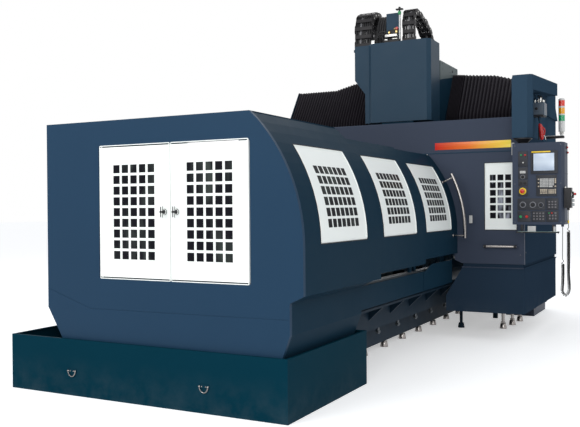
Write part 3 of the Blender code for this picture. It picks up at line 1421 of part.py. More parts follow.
def handwheel():
    """The portable hand wheel on the pendant's right side, with its dial and knobs, and its curly cord."""
    side = PENDANT_RIGHT + SEAT
    middle = handwheel_line()
    half, deep = WHEEL_WIDTH / 2, WHEEL_DEPTH
    low = (side, middle - half, WHEEL_LOW)
    body = block("handwheel", low, (side + deep, middle + half, WHEEL_LOW + WHEEL_HEIGHT), BLACK)
    for z, radius, reach in WHEEL_KNOBS:
        centre = (side + deep, middle, WHEEL_LOW + z)
        join(body, turned("wheel_knob", [(radius, -0.004), (radius, reach)], centre, RED, 14, "x"))
    cord_x = side + deep / 2
    neck = [(GLAND_RADIUS, 0.004), (GLAND_RADIUS, -GLAND_DROP)]
    join(body, turned("gland", neck, (cord_x, middle, WHEEL_LOW), BLACK, 12))
    return cord_x, middle


def tube(name, points):
    """A plain round cord along a smooth route."""
    curve = bpy.data.curves.new(name, "CURVE")
    curve.dimensions = "3D"
    curve.bevel_depth = CORD_DIAMETER / 2
    curve.bevel_resolution = 2
    curve.use_fill_caps = True
    route = smooth([Vector(p) for p in points], CORD_STEP)
    spline = curve.splines.new("POLY")
    spline.points.add(len(route) - 1)
    for point, spot in zip(spline.points, route):
        point.co = (*spot, 1)
    curve.materials.append(BLACK)
    made = bpy.data.objects.new(name, curve)
    bpy.context.scene.collection.objects.link(made)


def handwheel_cord(x, y):
    """The cord leaves the hand wheel, runs down through its curls, turns in a loop and comes back up."""
    top = WHEEL_LOW - GLAND_DROP
    back_x = PENDANT_RIGHT - GLAND_INSET
    back_top = PENDANT_TOP - PENDANT_HEIGHT - GLAND_DROP - SEAT
    tube("handwheel_cord_top", [(x, y, top - SEAT), (x, y, (top + CURL_HIGH) / 2), (x, y, CURL_HIGH + SEAT)])
    curl = [(CURL_RADIUS, CURL_LOW), (CURL_RADIUS, CURL_HIGH)]
    turned("handwheel_cord_curl", curl, (x, y, 0), BLACK, 14)
    low = CORD_LOW + CORD_DIAMETER / 2
    route = [
        (x, y, CURL_LOW - SEAT),
        (x, y, CURL_LOW - 0.060),
        (x - 0.004, y, 0.740),
        (x + 0.004, y, 0.620),
        (x - 0.002, y, low + 0.030),
        ((x + back_x) / 2 - 0.004, y, low),
        (back_x - 0.006, y, low + 0.036),
        (back_x - 0.002, y, 0.660),
        (back_x + 0.004, y, 0.800),
        (back_x - 0.004, y, 0.950),
        (back_x, y, back_top - 0.060),
        (back_x, y, back_top),
    ]
    tube("handwheel_cord_tail", route)


def rear_guard():
    """The plain rear guard behind the bridge, open at the top, on four legs."""
    start, end = COLUMN_BACK + SEAT, BED_BACK + REAR_REACH
    left, right = -GUARD_LEFT, GUARD_RIGHT - 0.010
    guard = block("rear_guard", (left, start, REAR_LOW), (right, end, REAR_TOP), DEEP_BLUE)
    inner_low = (left + SHEET, start - SHEET, REAR_LOW - SHEET)
    cut(guard, block("rear_hollow", inner_low, (right - SHEET, end - SHEET, REAR_TOP + SHEET), DEEP_BLUE))
    leg = 0.050
    for x in (left + 0.004, right - leg - 0.004):
        for y in (start + leg, end - 2 * leg - 0.010):
            join(guard, block("leg", (x, y, 0), (x + leg, y + leg, REAR_LOW + 0.150), DEEP_BLUE))


def electrical_cabinet():
    """A closed steel cabinet on a plinth beside the rear guard."""
    left, front = GUARD_RIGHT - 0.010 + SEAT, CABINET_FRONT
    right, back = left + CABINET_WIDTH, front + CABINET_DEPTH
    low, high = (left, front, PLINTH_HEIGHT), (right, back, CABINET_TOP)
    cabinet = block("electrical_cabinet", low, high, CABIN_BLUE)
    toe = 0.020
    low, high = (left + toe, front + toe, 0), (right - toe, back - toe, PLINTH_HEIGHT + 0.010)
    join(cabinet, block("plinth", low, high, BLACK))


def main():
    clear_scene()
    coolant_tank()
    front_wall()
    roof()
    left_wall()
    right_skirt()
    side_guards()
    guard_track()
    front_door("front_left_door", -1)
    front_door("front_right_door", 1)
    bed()
    table()
    start = TABLE_CENTRE - TABLE_LENGTH / 2
    way_cover("front_way_cover", BED_FRONT + 0.020, start - SEAT)
    way_cover("rear_way_cover", BED_BACK - 0.020, start + TABLE_LENGTH + SEAT)
    chip_troughs()
    columns()
    crossbeam()
    left, right = HEAD_CENTRE - HEAD_HALF - SADDLE_REACH, HEAD_CENTRE + HEAD_HALF
    bellows("left_bellows", -BELLOWS_END, left - SEAT)
    bellows("right_bellows", right + SEAT, BELLOWS_END)
    carriage()
    foot, end = (LEFT_CHAIN[0][0], WING_TOP + SEAT), (LEFT_CHAIN[-1][0], REST_TOP + SEAT)
    knots = [foot, *LEFT_CHAIN[1:-1], end]
    cable_chain("left_cable_chain", CHAIN_LEFT + 0.005, LEFT_CHAIN_WIDTH, knots)
    foot, end = (RIGHT_CHAIN[0][0], HEAD_TOP + SEAT), (RIGHT_CHAIN[-1][0], HOUSING_TOP + SEAT)
    knots = [foot, *RIGHT_CHAIN[1:-1], end]
    cable_chain("right_cable_chain", RIGHT_CHAIN_LEFT, RIGHT_CHAIN_WIDTH, knots)
    cabin()
    pendant_arm()
    upper_side()
    signal_tower()
    pendant()
    handwheel_cord(*handwheel())
    rear_guard()
    electrical_cabinet()


main()
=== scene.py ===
import math

import bmesh
import bpy
import numpy as np
from mathutils import Matrix, Vector


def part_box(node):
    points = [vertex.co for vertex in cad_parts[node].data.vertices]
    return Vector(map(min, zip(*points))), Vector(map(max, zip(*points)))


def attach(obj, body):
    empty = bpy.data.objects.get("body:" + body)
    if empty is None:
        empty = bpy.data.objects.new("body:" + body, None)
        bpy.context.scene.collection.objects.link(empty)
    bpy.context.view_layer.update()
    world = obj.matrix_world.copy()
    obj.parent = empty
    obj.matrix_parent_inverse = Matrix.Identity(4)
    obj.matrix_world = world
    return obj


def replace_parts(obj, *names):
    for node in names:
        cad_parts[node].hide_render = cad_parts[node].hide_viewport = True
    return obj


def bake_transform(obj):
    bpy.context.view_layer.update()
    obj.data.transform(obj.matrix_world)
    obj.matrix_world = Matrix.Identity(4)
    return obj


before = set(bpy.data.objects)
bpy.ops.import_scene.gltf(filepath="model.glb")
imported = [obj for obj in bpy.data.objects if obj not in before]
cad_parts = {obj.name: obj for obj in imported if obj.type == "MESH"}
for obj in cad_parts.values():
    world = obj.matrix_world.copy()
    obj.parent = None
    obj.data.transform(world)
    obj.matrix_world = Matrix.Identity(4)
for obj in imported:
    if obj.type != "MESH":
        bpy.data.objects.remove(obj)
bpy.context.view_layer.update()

# Bridge milling machine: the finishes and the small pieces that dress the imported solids.
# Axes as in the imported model: x to the right along the front, y to the back, z up from the floor, metres.
# Every shape is worked out as whole arrays: a profile carried along a path, or a function of two parameters.

# Camera and stage

CAMERA_PLACE = (3.305, -5.100, 1.400)
CAMERA_YAW, CAMERA_PITCH, CAMERA_ROLL = 27.8038, -0.4933, -0.4222
SENSOR, FOCAL, PHOTO_WIDTH = 36, 787.312, 580
FLOOR_HALF, FLOOR_DEPTH, FLOOR_GLOW = 60.0, -0.001, 0.42
FILL_LIGHT = 0.60


def place_camera():
    """The photo's own viewpoint: 1.4 m up, in front and to the right, turned 27.8 degrees to the left."""
    yaw, pitch, roll = map(math.radians, (CAMERA_YAW, CAMERA_PITCH, CAMERA_ROLL))
    right = Vector((math.cos(yaw), math.sin(yaw), 0))
    level = Vector((-math.sin(yaw), math.cos(yaw), 0))
    ahead = level * math.cos(pitch) + Vector((0, 0, 1)) * math.sin(pitch)
    up = -level * math.sin(pitch) + Vector((0, 0, 1)) * math.cos(pitch)
    side = right * math.cos(roll) + up * math.sin(roll)
    top = -right * math.sin(roll) + up * math.cos(roll)
    data = bpy.data.cameras.new("photo camera")
    data.sensor_width = SENSOR
    data.lens = FOCAL / PHOTO_WIDTH * SENSOR
    data.clip_end = 200
    camera = bpy.data.objects.new("photo camera", data)
    bpy.context.scene.collection.objects.link(camera)
    turn = Matrix((side, top, -ahead)).transposed().to_4x4()
    camera.matrix_world = Matrix.Translation(CAMERA_PLACE) @ turn
    bpy.context.scene.camera = camera


def add_node(tree, kind, inputs=None, **settings):
    """A node with some settings, and each named input given a value or fed from another node's socket."""
    node = tree.nodes.new("ShaderNode" + kind)
    for key, value in settings.items():
        setattr(node, key, value)
    for key, value in (inputs or {}).items():
        if isinstance(value, bpy.types.NodeSocket):
            tree.links.new(value, node.inputs[key])
        else:
            node.inputs[key].default_value = value
    return node


def maths(tree, operation, *terms, clamp=False):
    """The result of a maths node whose terms are sockets or numbers."""
    return add_node(tree, "Math", dict(enumerate(terms)), operation=operation, use_clamp=clamp).outputs[0]


def area_lamp(name, spot, target, size, power, colour=(1, 1, 1)):
    data = bpy.data.lights.new(name, "AREA")
    data.shape = "RECTANGLE"
    data.size, data.size_y = size
    data.energy = power
    data.color = colour
    lamp = bpy.data.objects.new(name, data)
    lamp.location = spot
    lamp.rotation_euler = (Vector(target) - Vector(spot)).to_track_quat("-Z", "Y").to_euler()
    bpy.context.scene.collection.objects.link(lamp)


def light_world():
    """An even white surround: plain white to the camera, metal and glass, and a dimmer fill for the rest."""
    world = bpy.data.worlds.new("studio")
    bpy.context.scene.world = world
    world.use_nodes = True
    tree = world.node_tree
    tree.nodes.clear()
    seen = add_node(tree, "Background", {"Color": (1, 1, 1, 1), "Strength": 1.0})
    fill = add_node(tree, "Background", {"Color": (0.93, 0.96, 1, 1), "Strength": FILL_LIGHT})
    rays = add_node(tree, "LightPath").outputs
    direct = maths(tree, "MAXIMUM", rays["Is Camera Ray"], rays["Is Transmission Ray"])
    bright = maths(tree, "MAXIMUM", direct, rays["Is Glossy Ray"])
    mix = add_node(tree, "MixShader", {"Fac": bright, 1: fill.outputs[0], 2: seen.outputs[0]})
    add_node(tree, "OutputWorld", {"Surface": mix.outputs[0]})


def lay_floor():
    """A pale floor that glows white to the camera and in reflections, and keeps the machine's shadow."""
    corners = [(x, y, FLOOR_DEPTH) for x, y in FLOOR_HALF * np.array([(-1, -1), (1, -1), (1, 1), (-1, 1)])]
    mesh = bpy.data.meshes.new("floor")
    mesh.from_pydata(corners, [], [(0, 1, 2, 3)])
    floor = bpy.data.objects.new("floor", mesh)
    bpy.context.scene.collection.objects.link(floor)
    finish = bpy.data.materials.new("studio floor")
    finish.use_nodes = True
    tree = finish.node_tree
    shader = tree.nodes["Principled BSDF"]
    shader.inputs["Base Color"].default_value = (0.93, 0.93, 0.93, 1)
    shader.inputs["Roughness"].default_value = 0.9
    shader.inputs["Specular IOR Level"].default_value = 0.1
    rays = add_node(tree, "LightPath").outputs
    direct = maths(tree, "MAXIMUM", rays["Is Camera Ray"], rays["Is Glossy Ray"])
    glow = add_node(tree, "Emission", {"Strength": maths(tree, "MULTIPLY", direct, FLOOR_GLOW)})
    both = add_node(tree, "AddShader", {0: shader.outputs[0], 1: glow.outputs[0]})
    tree.links.new(both.outputs[0], tree.nodes["Material Output"].inputs["Surface"])
    mesh.materials.append(finish)


def light_stage():
    """A white studio: a pale floor, an even white surround and four large soft lamps."""
    light_world()
    lay_floor()
    area_lamp("front lamp", (-3.5, -9.0, 6.5), (0, 0, 1.2), (6, 5), 520)
    area_lamp("right front lamp", (4.5, -8.5, 4.2), (1.2, 2.5, 1.2), (5, 4), 330)
    area_lamp("right lamp", (9.5, 0.5, 6.0), (1, 2, 1.3), (6, 5), 100, (0.95, 0.98, 1))
    area_lamp("back lamp", (-2.0, 13.0, 7.0), (0, 4, 1.5), (6, 5), 240)


# Shared shader groups


def new_group(name, inputs):
    """A shader group with named inputs of vector, colour or value, and its entry's sockets."""
    group = bpy.data.node_groups.new(name, "ShaderNodeTree")
    for label, value in {"Position": None, **inputs}.items():
        size = 3 if value is None else np.size(value)
        kind = {1: "NodeSocketFloat", 3: "NodeSocketVector", 4: "NodeSocketColor"}[size]
        socket = group.interface.new_socket(label, in_out="INPUT", socket_type=kind)
        if value is not None:
            socket.default_value = value
    for label, kind in (("Colour", "Color"), ("Height", "Float"), ("Roughness", "Float")):
        group.interface.new_socket(label, in_out="OUTPUT", socket_type="NodeSocket" + kind)
    return group, group.nodes.new("NodeGroupInput").outputs


def end_group(group, colour, height, rough, least, most):
    """Feeds the group's exit: the colour, the relief, and a share of noise as a shift of roughness."""
    shift = mapped(group, rough, {"To Min": least, "To Max": most})
    go = group.nodes.new("NodeGroupOutput")
    for label, socket in (("Colour", colour), ("Height", height), ("Roughness", shift)):
        group.links.new(socket, go.inputs[label])
    return group


def noise(tree, place, scale, detail, roughness=0.5):
    inputs = {"Vector": place, "Scale": scale, "Detail": detail, "Roughness": roughness}
    return add_node(tree, "TexNoise", inputs).outputs["Fac"]


def mapped(tree, value, span):
    """A value carried from one span to another, held at the ends."""
    return add_node(tree, "MapRange", {"Value": value, **span}, clamp=True).outputs[0]


def shaded(tree, colour, value):
    return add_node(tree, "HueSaturation", {"Color": colour, "Value": value}).outputs["Color"]


def paint_group():
    """Sprayed enamel: slow shifts of shade, a fine orange peel, and dust that settles low on the machine."""
    group, come = new_group(
        "sprayed enamel",
        {
            "Colour": (0.5, 0.5, 0.5, 1),
            "Dust colour": (0.3, 0.3, 0.3, 1),
            "Dust height": 0.5,
            "Dust amount": 0.2,
            "Shade shift": 0.1,
        },
    )
    place = come["Position"]
    slow, peel = noise(group, place, 1.3, 3.0), noise(group, place, 420.0, 1.0)
    smear = noise(group, place, 6.0, 6.0, 0.65)
    centred = maths(group, "SUBTRACT", slow, 0.5)
    shift = maths(group, "MULTIPLY", centred, come["Shade shift"])
    paint = shaded(group, come["Colour"], maths(group, "ADD", shift, 1.0))
    height = add_node(group, "SeparateXYZ", {0: place}).outputs["Z"]
    fade = {"From Min": 0.0, "From Max": come["Dust height"], "To Min": 1.0, "To Max": 0.0}
    low = mapped(group, height, fade)
    patchy = maths(group, "MULTIPLY", low, mapped(group, smear, {"From Min": 0.4, "From Max": 0.75}))
    amount = maths(group, "MULTIPLY", patchy, come["Dust amount"])
    layers = {"Factor": amount, "A": paint, "B": come["Dust colour"]}
    mixed = add_node(group, "Mix", layers, data_type="RGBA")
    return end_group(group, mixed.outputs["Result"], peel, smear, -0.05, 0.09)


def brushed_group():
    """Ground metal: fine streaks along one direction, with faint blotches of oil."""
    group, come = new_group("ground streaks", {"Stretch": (400.0, 8.0, 400.0), "Colour": (0.6, 0.6, 0.6, 1)})
    place = come["Position"]
    spread = add_node(group, "VectorMath", {0: place, 1: come["Stretch"]}, operation="MULTIPLY")
    streak, blotch = noise(group, spread.outputs[0], 1.0, 2.0), noise(group, place, 9.0, 5.0, 0.6)
    metal = shaded(group, come["Colour"], mapped(group, streak, {"To Min": 0.86, "To Max": 1.12}))
    return end_group(group, metal, streak, blotch, -0.07, 0.12)


def grain_group():
    """Moulded plastic or rough casting: a pebbled grain, with a slow shift of shade."""
    inputs = {"Colour": (0.1, 0.1, 0.1, 1), "Grain scale": 300.0, "Shade shift": 0.2}
    group, come = new_group("pebbled grain", inputs)
    pebble = add_node(group, "TexVoronoi", {"Vector": come["Position"], "Scale": come["Grain scale"]})
    slow = noise(group, come["Position"], 7.0, 5.0)
    centred = maths(group, "SUBTRACT", slow, 0.5)
    level = maths(group, "MULTIPLY_ADD", centred, come["Shade shift"], 1.0)
    plastic = shaded(group, come["Colour"], level)
    return end_group(group, plastic, pebble.outputs["Distance"], slow, -0.06, 0.10)


ENAMEL = paint_group()
STREAKS = brushed_group()
PEBBLES = grain_group()


def finish_with(name, group, inputs, roughness, bump, metallic=0.0, coat=0.0, specular=0.5):
    """A material whose colour, gloss and relief come from one shared group."""
    made = bpy.data.materials.new(name)
    made.use_nodes = True
    tree = made.node_tree
    place = add_node(tree, "TexCoord").outputs["Object"]
    effect = add_node(tree, "Group", node_tree=group)
    for label, value in inputs.items():
        effect.inputs[label].default_value = value
    tree.links.new(place, effect.inputs["Position"])
    come = effect.outputs
    relief = add_node(tree, "Bump", {"Strength": bump, "Distance": 0.001, "Height": come["Height"]})
    sockets = {
        "Base Color": come["Colour"],
        "Roughness": maths(tree, "ADD", come["Roughness"], roughness, clamp=True),
        "Normal": relief.outputs["Normal"],
    }
    shader = tree.nodes["Principled BSDF"]
    for label, socket in sockets.items():
        tree.links.new(socket, shader.inputs[label])
    shader.inputs["Metallic"].default_value = metallic
    shader.inputs["Coat Weight"].default_value = coat
    shader.inputs["Coat Roughness"].default_value = 0.12
    shader.inputs["Specular IOR Level"].default_value = specular
    return made


def enamel(name, colour, roughness=0.42, dust=0.2, dust_height=0.45, shift=0.10, coat=0.0, specular=0.22):
    inputs = {
        "Colour": (*colour, 1),
        "Dust colour": (0.20, 0.22, 0.23, 1),
        "Dust height": dust_height,
        "Dust amount": dust,
        "Shade shift": shift,
    }
    return finish_with(name, ENAMEL, inputs, roughness, 0.05, coat=coat, specular=specular)


def ground_metal(name, colour, roughness=0.26, stretch=(400.0, 8.0, 400.0)):
    inputs = {"Colour": (*colour, 1), "Stretch": stretch}
    return finish_with(name, STREAKS, inputs, roughness, 0.08, metallic=1.0)


def moulded(name, colour, roughness=0.5, grain=500.0, shift=0.2, bump=0.12, coat=0.0, specular=0.3):
    inputs = {"Colour": (*colour, 1), "Grain scale": grain, "Shade shift": shift}
    return finish_with(name, PEBBLES, inputs, roughness, bump, coat=coat, specular=specular)


def node_of(material, kind):
    return next(node for node in material.node_tree.nodes if node.type == kind)


def recoloured(material, share, stops):
    """Gives a moulded material a run of colours, in pairs of place and colour, by a share."""
    tree = material.node_tree
    ramp = add_node(tree, "ValToRGB", {"Fac": share})
    line = ramp.color_ramp
    for element, (place, colour) in zip(line.elements, (stops[0], stops[-1])):
        element.position, element.color = place, (*colour, 1)
    for place, colour in stops[1:-1]:
        line.elements.new(place).color = (*colour, 1)
    tree.links.new(ramp.outputs["Color"], node_of(material, "GROUP").inputs["Colour"])
    return material


def colour_run(name, stops, axis, low, high, roughness=0.35):
    """Plastic film whose colour runs along one axis between two places, with a fine grain over it."""
    made = moulded(name, stops[0][1], roughness, 700.0, 0.06, 0.03, 0.2)
    tree = made.node_tree
    parts = add_node(tree, "SeparateXYZ", {0: node_of(made, "TEX_COORD").outputs["Object"]})
    share = mapped(tree, parts.outputs[axis], {"From Min": low, "From Max": high})
    return recoloured(made, share, stops)


def ridged_cloth(name, deep, ridge_highlight):
    """Coated cloth, with painted shade down in its folds and a painted highlight on the ridges, by the share
    in its fold attribute.
    """
    made = moulded(name, deep, 0.50, 900.0, 0.35, 0.2, specular=0.12)
    fold = add_node(made.node_tree, "Attribute", attribute_name="fold")
    return recoloured(made, fold.outputs["Fac"], [(0.30, deep), (1.0, ridge_highlight)])


def shade_and_reflection_pane(name, start, full, pale):
    """Dark plate behind the holes, painted shade for the unlit inside, with slow paler clouds, tall and
    narrow, painted as reflections of the room.
    """
    dark = (0.006, 0.006, 0.009)
    made = moulded(name, dark, 0.30, 90.0, 0.2, 0.01, specular=0.05)
    tree = made.node_tree
    place = node_of(made, "TEX_COORD").outputs["Object"]
    spread = add_node(tree, "VectorMath", {0: place, 1: (7.0, 7.0, 2.2)}, operation="MULTIPLY")
    reflection_cloud = noise(tree, spread.outputs[0], 1.0, 3.0, 0.6)
    return recoloured(made, reflection_cloud, [(start, dark), (full, pale)])


FRONT_PAINT = enamel("front paint", (0.0115, 0.0375, 0.075), specular=0.10)
DEEP_PAINT = enamel("deep paint", (0.0080, 0.0270, 0.047), shift=0.12, specular=0.015)
TANK_PAINT = enamel("tank paint", (0.0020, 0.0280, 0.046), 0.45, 0.10, 0.30, specular=0.01)
# The cabin paint comes in three copies: this one for the front faces, the skirt's darker copy with painted
# shade for the cabin's sides and skirts, and the arm's lighter copy with painted light on the arm's side.
CABIN_PAINT = enamel("cabin paint", (0.047, 0.059, 0.088), specular=0.05)
SHADED_SKIRT_PAINT = enamel("shaded skirt paint", (0.022, 0.040, 0.066), specular=0.0)
LIT_ARM_PAINT = enamel("lit arm paint", (0.032, 0.062, 0.098), specular=0.0)
HEAD_PAINT = enamel("head paint", (0.015, 0.042, 0.072), 0.42, specular=0.15)
WHITE_PAINT = enamel("white panel paint", (0.86, 0.89, 0.865), 0.40, 0.0, 0.1, 0.03)
GREY_PAINT = enamel("light grey paint", (0.095, 0.125, 0.13), 0.50, 0.0, 0.1, 0.08)
CASTING = moulded("painted casting", (0.005, 0.018, 0.034), 0.58, 160.0, 0.25, 0.30, specular=0.15)
GROUND_STEEL = ground_metal("ground steel", (0.56, 0.56, 0.55))
COVER_STEEL = ground_metal("cover steel", (0.42, 0.43, 0.44), 0.32, (8.0, 300.0, 300.0))
HANDLE_STEEL = ground_metal("handle steel", (0.30, 0.28, 0.27), 0.20, (60.0, 60.0, 60.0))
DARK_STEEL = ground_metal("blackened steel", (0.10, 0.11, 0.12), 0.35, (60.0, 60.0, 60.0))
TRACK_STEEL = ground_metal("track steel", (0.07, 0.08, 0.09), 0.42, (300.0, 8.0, 300.0))
ZINC = ground_metal("zinc plate", (0.55, 0.55, 0.53), 0.30, (120.0, 120.0, 120.0))
ALUMINIUM = ground_metal("brushed aluminium", (0.70, 0.70, 0.71), 0.28, (30.0, 30.0, 500.0))
BRASS = ground_metal("brass", (0.62, 0.45, 0.18), 0.26, (150.0, 150.0, 150.0))
BLACK_PLASTIC = moulded("black plastic", (0.012, 0.012, 0.014), 0.48)
CHAIN_PLASTIC = moulded("chain plastic", (0.016, 0.015, 0.017), 0.52, 260.0)
# The bellows' darker folds and paler ridges are painted shade and a painted highlight.
BELLOWS_CLOTH = ridged_cloth("bellows cloth", (0.008, 0.0065, 0.0095), (0.034, 0.031, 0.037))
CORD_RUBBER = moulded("cord rubber", (0.012, 0.012, 0.013), 0.42, 1200.0)
HOSE_RUBBER = moulded("hose rubber", (0.020, 0.020, 0.022), 0.55, 700.0)
CABLE_GREY = moulded("grey cable sheath", (0.16, 0.16, 0.17), 0.50, 700.0)
GASKET = moulded("rubber gasket", (0.010, 0.010, 0.011), 0.60, 800.0)
# Panes: their dark is painted shade of the inside behind the holes, their pale clouds painted reflections,
# brighter on the cabin window's panes.
PANE = shade_and_reflection_pane("pane with painted shade", 0.50, 0.80, (0.050, 0.062, 0.055))
BRIGHT_PANE = shade_and_reflection_pane("bright pane", 0.50, 0.60, (0.34, 0.36, 0.42))
LAMP_WHITE = moulded("lamp white", (0.72, 0.72, 0.70), 0.25, 60.0, 0.05, 0.02, 0.3)
RED_LENS = moulded("red lens", (0.80, 0.030, 0.012), 0.12, 90.0, 0.25, 0.04, 0.6)
AMBER_LENS = moulded("amber lens", (0.92, 0.40, 0.010), 0.12, 90.0, 0.25, 0.04, 0.6)
GREEN_LENS = moulded("green lens", (0.012, 0.40, 0.16), 0.12, 90.0, 0.25, 0.04, 0.6)
RED_PLASTIC = moulded("red plastic", (0.50, 0.016, 0.014), 0.32, 500.0, 0.15, 0.06, 0.3)
GREEN_PLASTIC = moulded("green plastic", (0.012, 0.24, 0.075), 0.32, 500.0, 0.15, 0.06, 0.3)
YELLOW_PLASTIC = moulded("yellow plastic", (0.74, 0.50, 0.02), 0.36, 500.0, 0.10, 0.06, 0.2)
CASE_GREY = enamel("slate case paint", (0.085, 0.11, 0.14), 0.40, 0.0, 0.1, 0.10)
PANEL_GREY = moulded("panel film", (0.020, 0.022, 0.028), 0.50, 600.0, 0.12, 0.05)
RING_GREY = moulded("ring film", (0.16, 0.165, 0.18), 0.50, 600.0, 0.12, 0.05)
KEY_WHITE = moulded("pale key", (0.46, 0.46, 0.45), 0.40, 600.0, 0.10, 0.05)
KEY_SAND = moulded("sand key", (0.42, 0.36, 0.28), 0.42, 600.0, 0.12, 0.05)
KEY_GREY = moulded("grey key", (0.13, 0.125, 0.135), 0.42, 600.0, 0.12, 0.05)
CLEAR_KNOB = moulded("clear knob", (0.42, 0.45, 0.46), 0.10, 120.0, 0.15, 0.02, 0.8)
SHELF_GLASS = moulded("shelf glass", (0.22, 0.34, 0.31), 0.12, 60.0, 0.20, 0.01, 0.6)
BAND = colour_run(
    "warm band",
    [(0.0, (0.60, 0.02, 0.015)), (0.45, (0.78, 0.16, 0.01)), (1.0, (0.86, 0.66, 0.03))],
    "X", 0.762, 1.559,
)
DISPLAY = colour_run(
    "display glass",
    [(0.0, (0.36, 0.44, 0.56)), (0.5, (0.62, 0.70, 0.80)), (1.0, (0.50, 0.58, 0.70))],
    "Z", 1.728, 1.895, 0.18,
)

SLOT_FINISHES = {
    "front_paint": (FRONT_PAINT, HEAD_PAINT),
    "deep_paint": (DEEP_PAINT, TANK_PAINT),
    "cabin_paint": (CABIN_PAINT, SHADED_SKIRT_PAINT, LIT_ARM_PAINT),
    "white_paint": (WHITE_PAINT,),
    "grey_paint": (GREY_PAINT,),
    "casting": (CASTING,),
    "bright_steel": (GROUND_STEEL, COVER_STEEL, ZINC, HANDLE_STEEL, TRACK_STEEL),
    "bellows_cloth": (BELLOWS_CLOTH,),
    "black_plastic": (BLACK_PLASTIC, CHAIN_PLASTIC),
    "cord_black": (CORD_RUBBER,),
    "lamp_white": (LAMP_WHITE,),
}
SLOTS = {finish: slot for slot, finishes in SLOT_FINISHES.items() for finish in finishes}

NODE_FINISHES = {
    FRONT_PAINT: "front_wall",
    HEAD_PAINT: "head_cover",
    # The arm's copy of the cabin paint is lighter with painted light; the cabin's sides and skirts take the
    # darker copy with painted shade.
    LIT_ARM_PAINT: "pendant_arm upper_cabin_side",
    SHADED_SKIRT_PAINT: "right_cabin_skirt left_cabin_skirt right_cabin_side left_cabin_side",
    TANK_PAINT: "coolant_tank",
    DEEP_PAINT: "guard_roof left_guard_wall right_skirt fixed_guard middle_guard operator_door "
    "right_chip_trough left_chip_trough saddle rear_guard",
    CABIN_PAINT: "right_cabin_front left_cabin_front beam_cover pendant_box electrical_cabinet",
    WHITE_PAINT: "fixed_guard_window middle_guard_window operator_door_window cabin_window "
    "front_left_door front_right_door",
    GREY_PAINT: "drive_housing",
    CASTING: "bed right_column left_column crossbeam",
    GROUND_STEEL: "table ram",
    TRACK_STEEL: "guard_track",
    COVER_STEEL: "front_way_cover rear_way_cover",
    BLACK_PLASTIC: "pendant_swivel handwheel",
    CHAIN_PLASTIC: "left_cable_chain right_cable_chain",
    BELLOWS_CLOTH: "left_bellows right_bellows",
    CORD_RUBBER: "handwheel_cord_top handwheel_cord_curl handwheel_cord_tail",
    LAMP_WHITE: "signal_tower",
}


def dress_nodes():
    """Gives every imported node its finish."""
    for finish, names in NODE_FINISHES.items():
        for name in names.split():
            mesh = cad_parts[name].data
            if not mesh.materials:
                mesh.materials.append(finish)
            for k in range(len(mesh.materials)):
                mesh.materials[k] = finish


# Shapes worked out as arrays. A part is (points, [faces]); each array of faces has one number of corners.

AXES = {"x": (2, 0, 1), "y": (1, 2, 0), "z": (0, 1, 2)}


def along(points, axis, centre=(0, 0, 0)):
    """Turns local points, whose third value runs down the named axis, into place round the centre."""
    points = np.asarray(points, float)
    if axis[0] == "-":
        points = points * (1, -1, -1)
    return points[..., AXES[axis[-1]]] + np.asarray(centre, float)


def skin(rings, capped=True):
    """Four-sided faces between rings of equally many points, with a flat cap on each end."""
    rings = np.asarray(rings, float)
    index = np.arange(rings.shape[0] * rings.shape[1]).reshape(rings.shape[:2])
    after = np.roll(index, -1, axis=1)
    quads = np.stack([index[:-1], after[:-1], after[1:], index[1:]], -1).reshape(-1, 4)
    faces = [quads, index[:1, ::-1], index[-1:]] if capped else [quads]
    return rings.reshape(-1, 3), faces


def joined(*parts):
    """One part out of several."""
    starts = np.cumsum([0] + [len(points) for points, _ in parts])
    faces = [rows + start for (_, lists), start in zip(parts, starts) for rows in lists]
    return np.concatenate([points for points, _ in parts]), faces


def laid_out(copies, faces):
    """One part out of rows of points, each a copy of the same part, whose faces are counted on."""
    steps = (np.arange(len(copies)) * copies.shape[1])[:, None, None]
    return copies.reshape(-1, 3), [(rows[None] + steps).reshape(-1, rows.shape[1]) for rows in faces]


def repeated(part, shifts):
    """Copies of a part, one for each row of shifts."""
    points, faces = part
    return laid_out(points[None] + np.asarray(shifts, float)[:, None], faces)


def lathe(profile, axis, centre, around=24):
    """A profile of (radius, height) pairs spun about an axis: r cos t, r sin t, h."""
    profile = np.asarray(profile, float)
    angles = np.arange(around) * 2 * math.pi / around
    radius, height = profile[:, :1], profile[:, 1:]
    local = np.stack(np.broadcast_arrays(radius * np.cos(angles), radius * np.sin(angles), height), -1)
    return skin(along(local, axis, centre))


def socket_screw(centre, axis, radius, height):
    """A cap screw: round rings rise and close in, then six-sided ones go down as the key socket."""
    angles = np.arange(12) * math.pi / 6
    key = math.cos(math.pi / 6) / np.cos((angles + math.pi / 6) % (math.pi / 3) - math.pi / 6)
    widths = np.array([1, 1, 0.9, 0.62, 0.52, 0.52])[:, None] * np.where(np.arange(6)[:, None] > 3, key, 1.0)
    heights = np.array([0, 0.8, 1, 1, 1, 0.4])[:, None] * height
    reach = radius * widths
    local = np.stack(np.broadcast_arrays(reach * np.cos(angles), reach * np.sin(angles), heights), -1)
    return skin(along(local, axis, centre))


def tube(path, radius, up=(0, 0, 1), around=10, closed=False):
    """A round bar: circles set across the path's direction, where up never runs along the path."""
    path = np.asarray(path, float)
    if closed:
        ahead = np.roll(path, -1, axis=0) - np.roll(path, 1, axis=0)
    else:
        ahead = np.gradient(path, axis=0)
    ahead /= np.linalg.norm(ahead, axis=1, keepdims=True)
    side = np.cross(ahead, np.broadcast_to(np.asarray(up, float), ahead.shape))
    side /= np.linalg.norm(side, axis=1, keepdims=True)
    other = np.cross(side, ahead)
    angles = np.arange(around)[None, :, None] * 2 * math.pi / around
    radius = np.broadcast_to(radius, len(path))[:, None, None]
    rings = path[:, None] + radius * (np.cos(angles) * side[:, None] + np.sin(angles) * other[:, None])
    if closed:
        return skin(np.concatenate([rings, rings[:1]]), capped=False)
    return skin(rings)


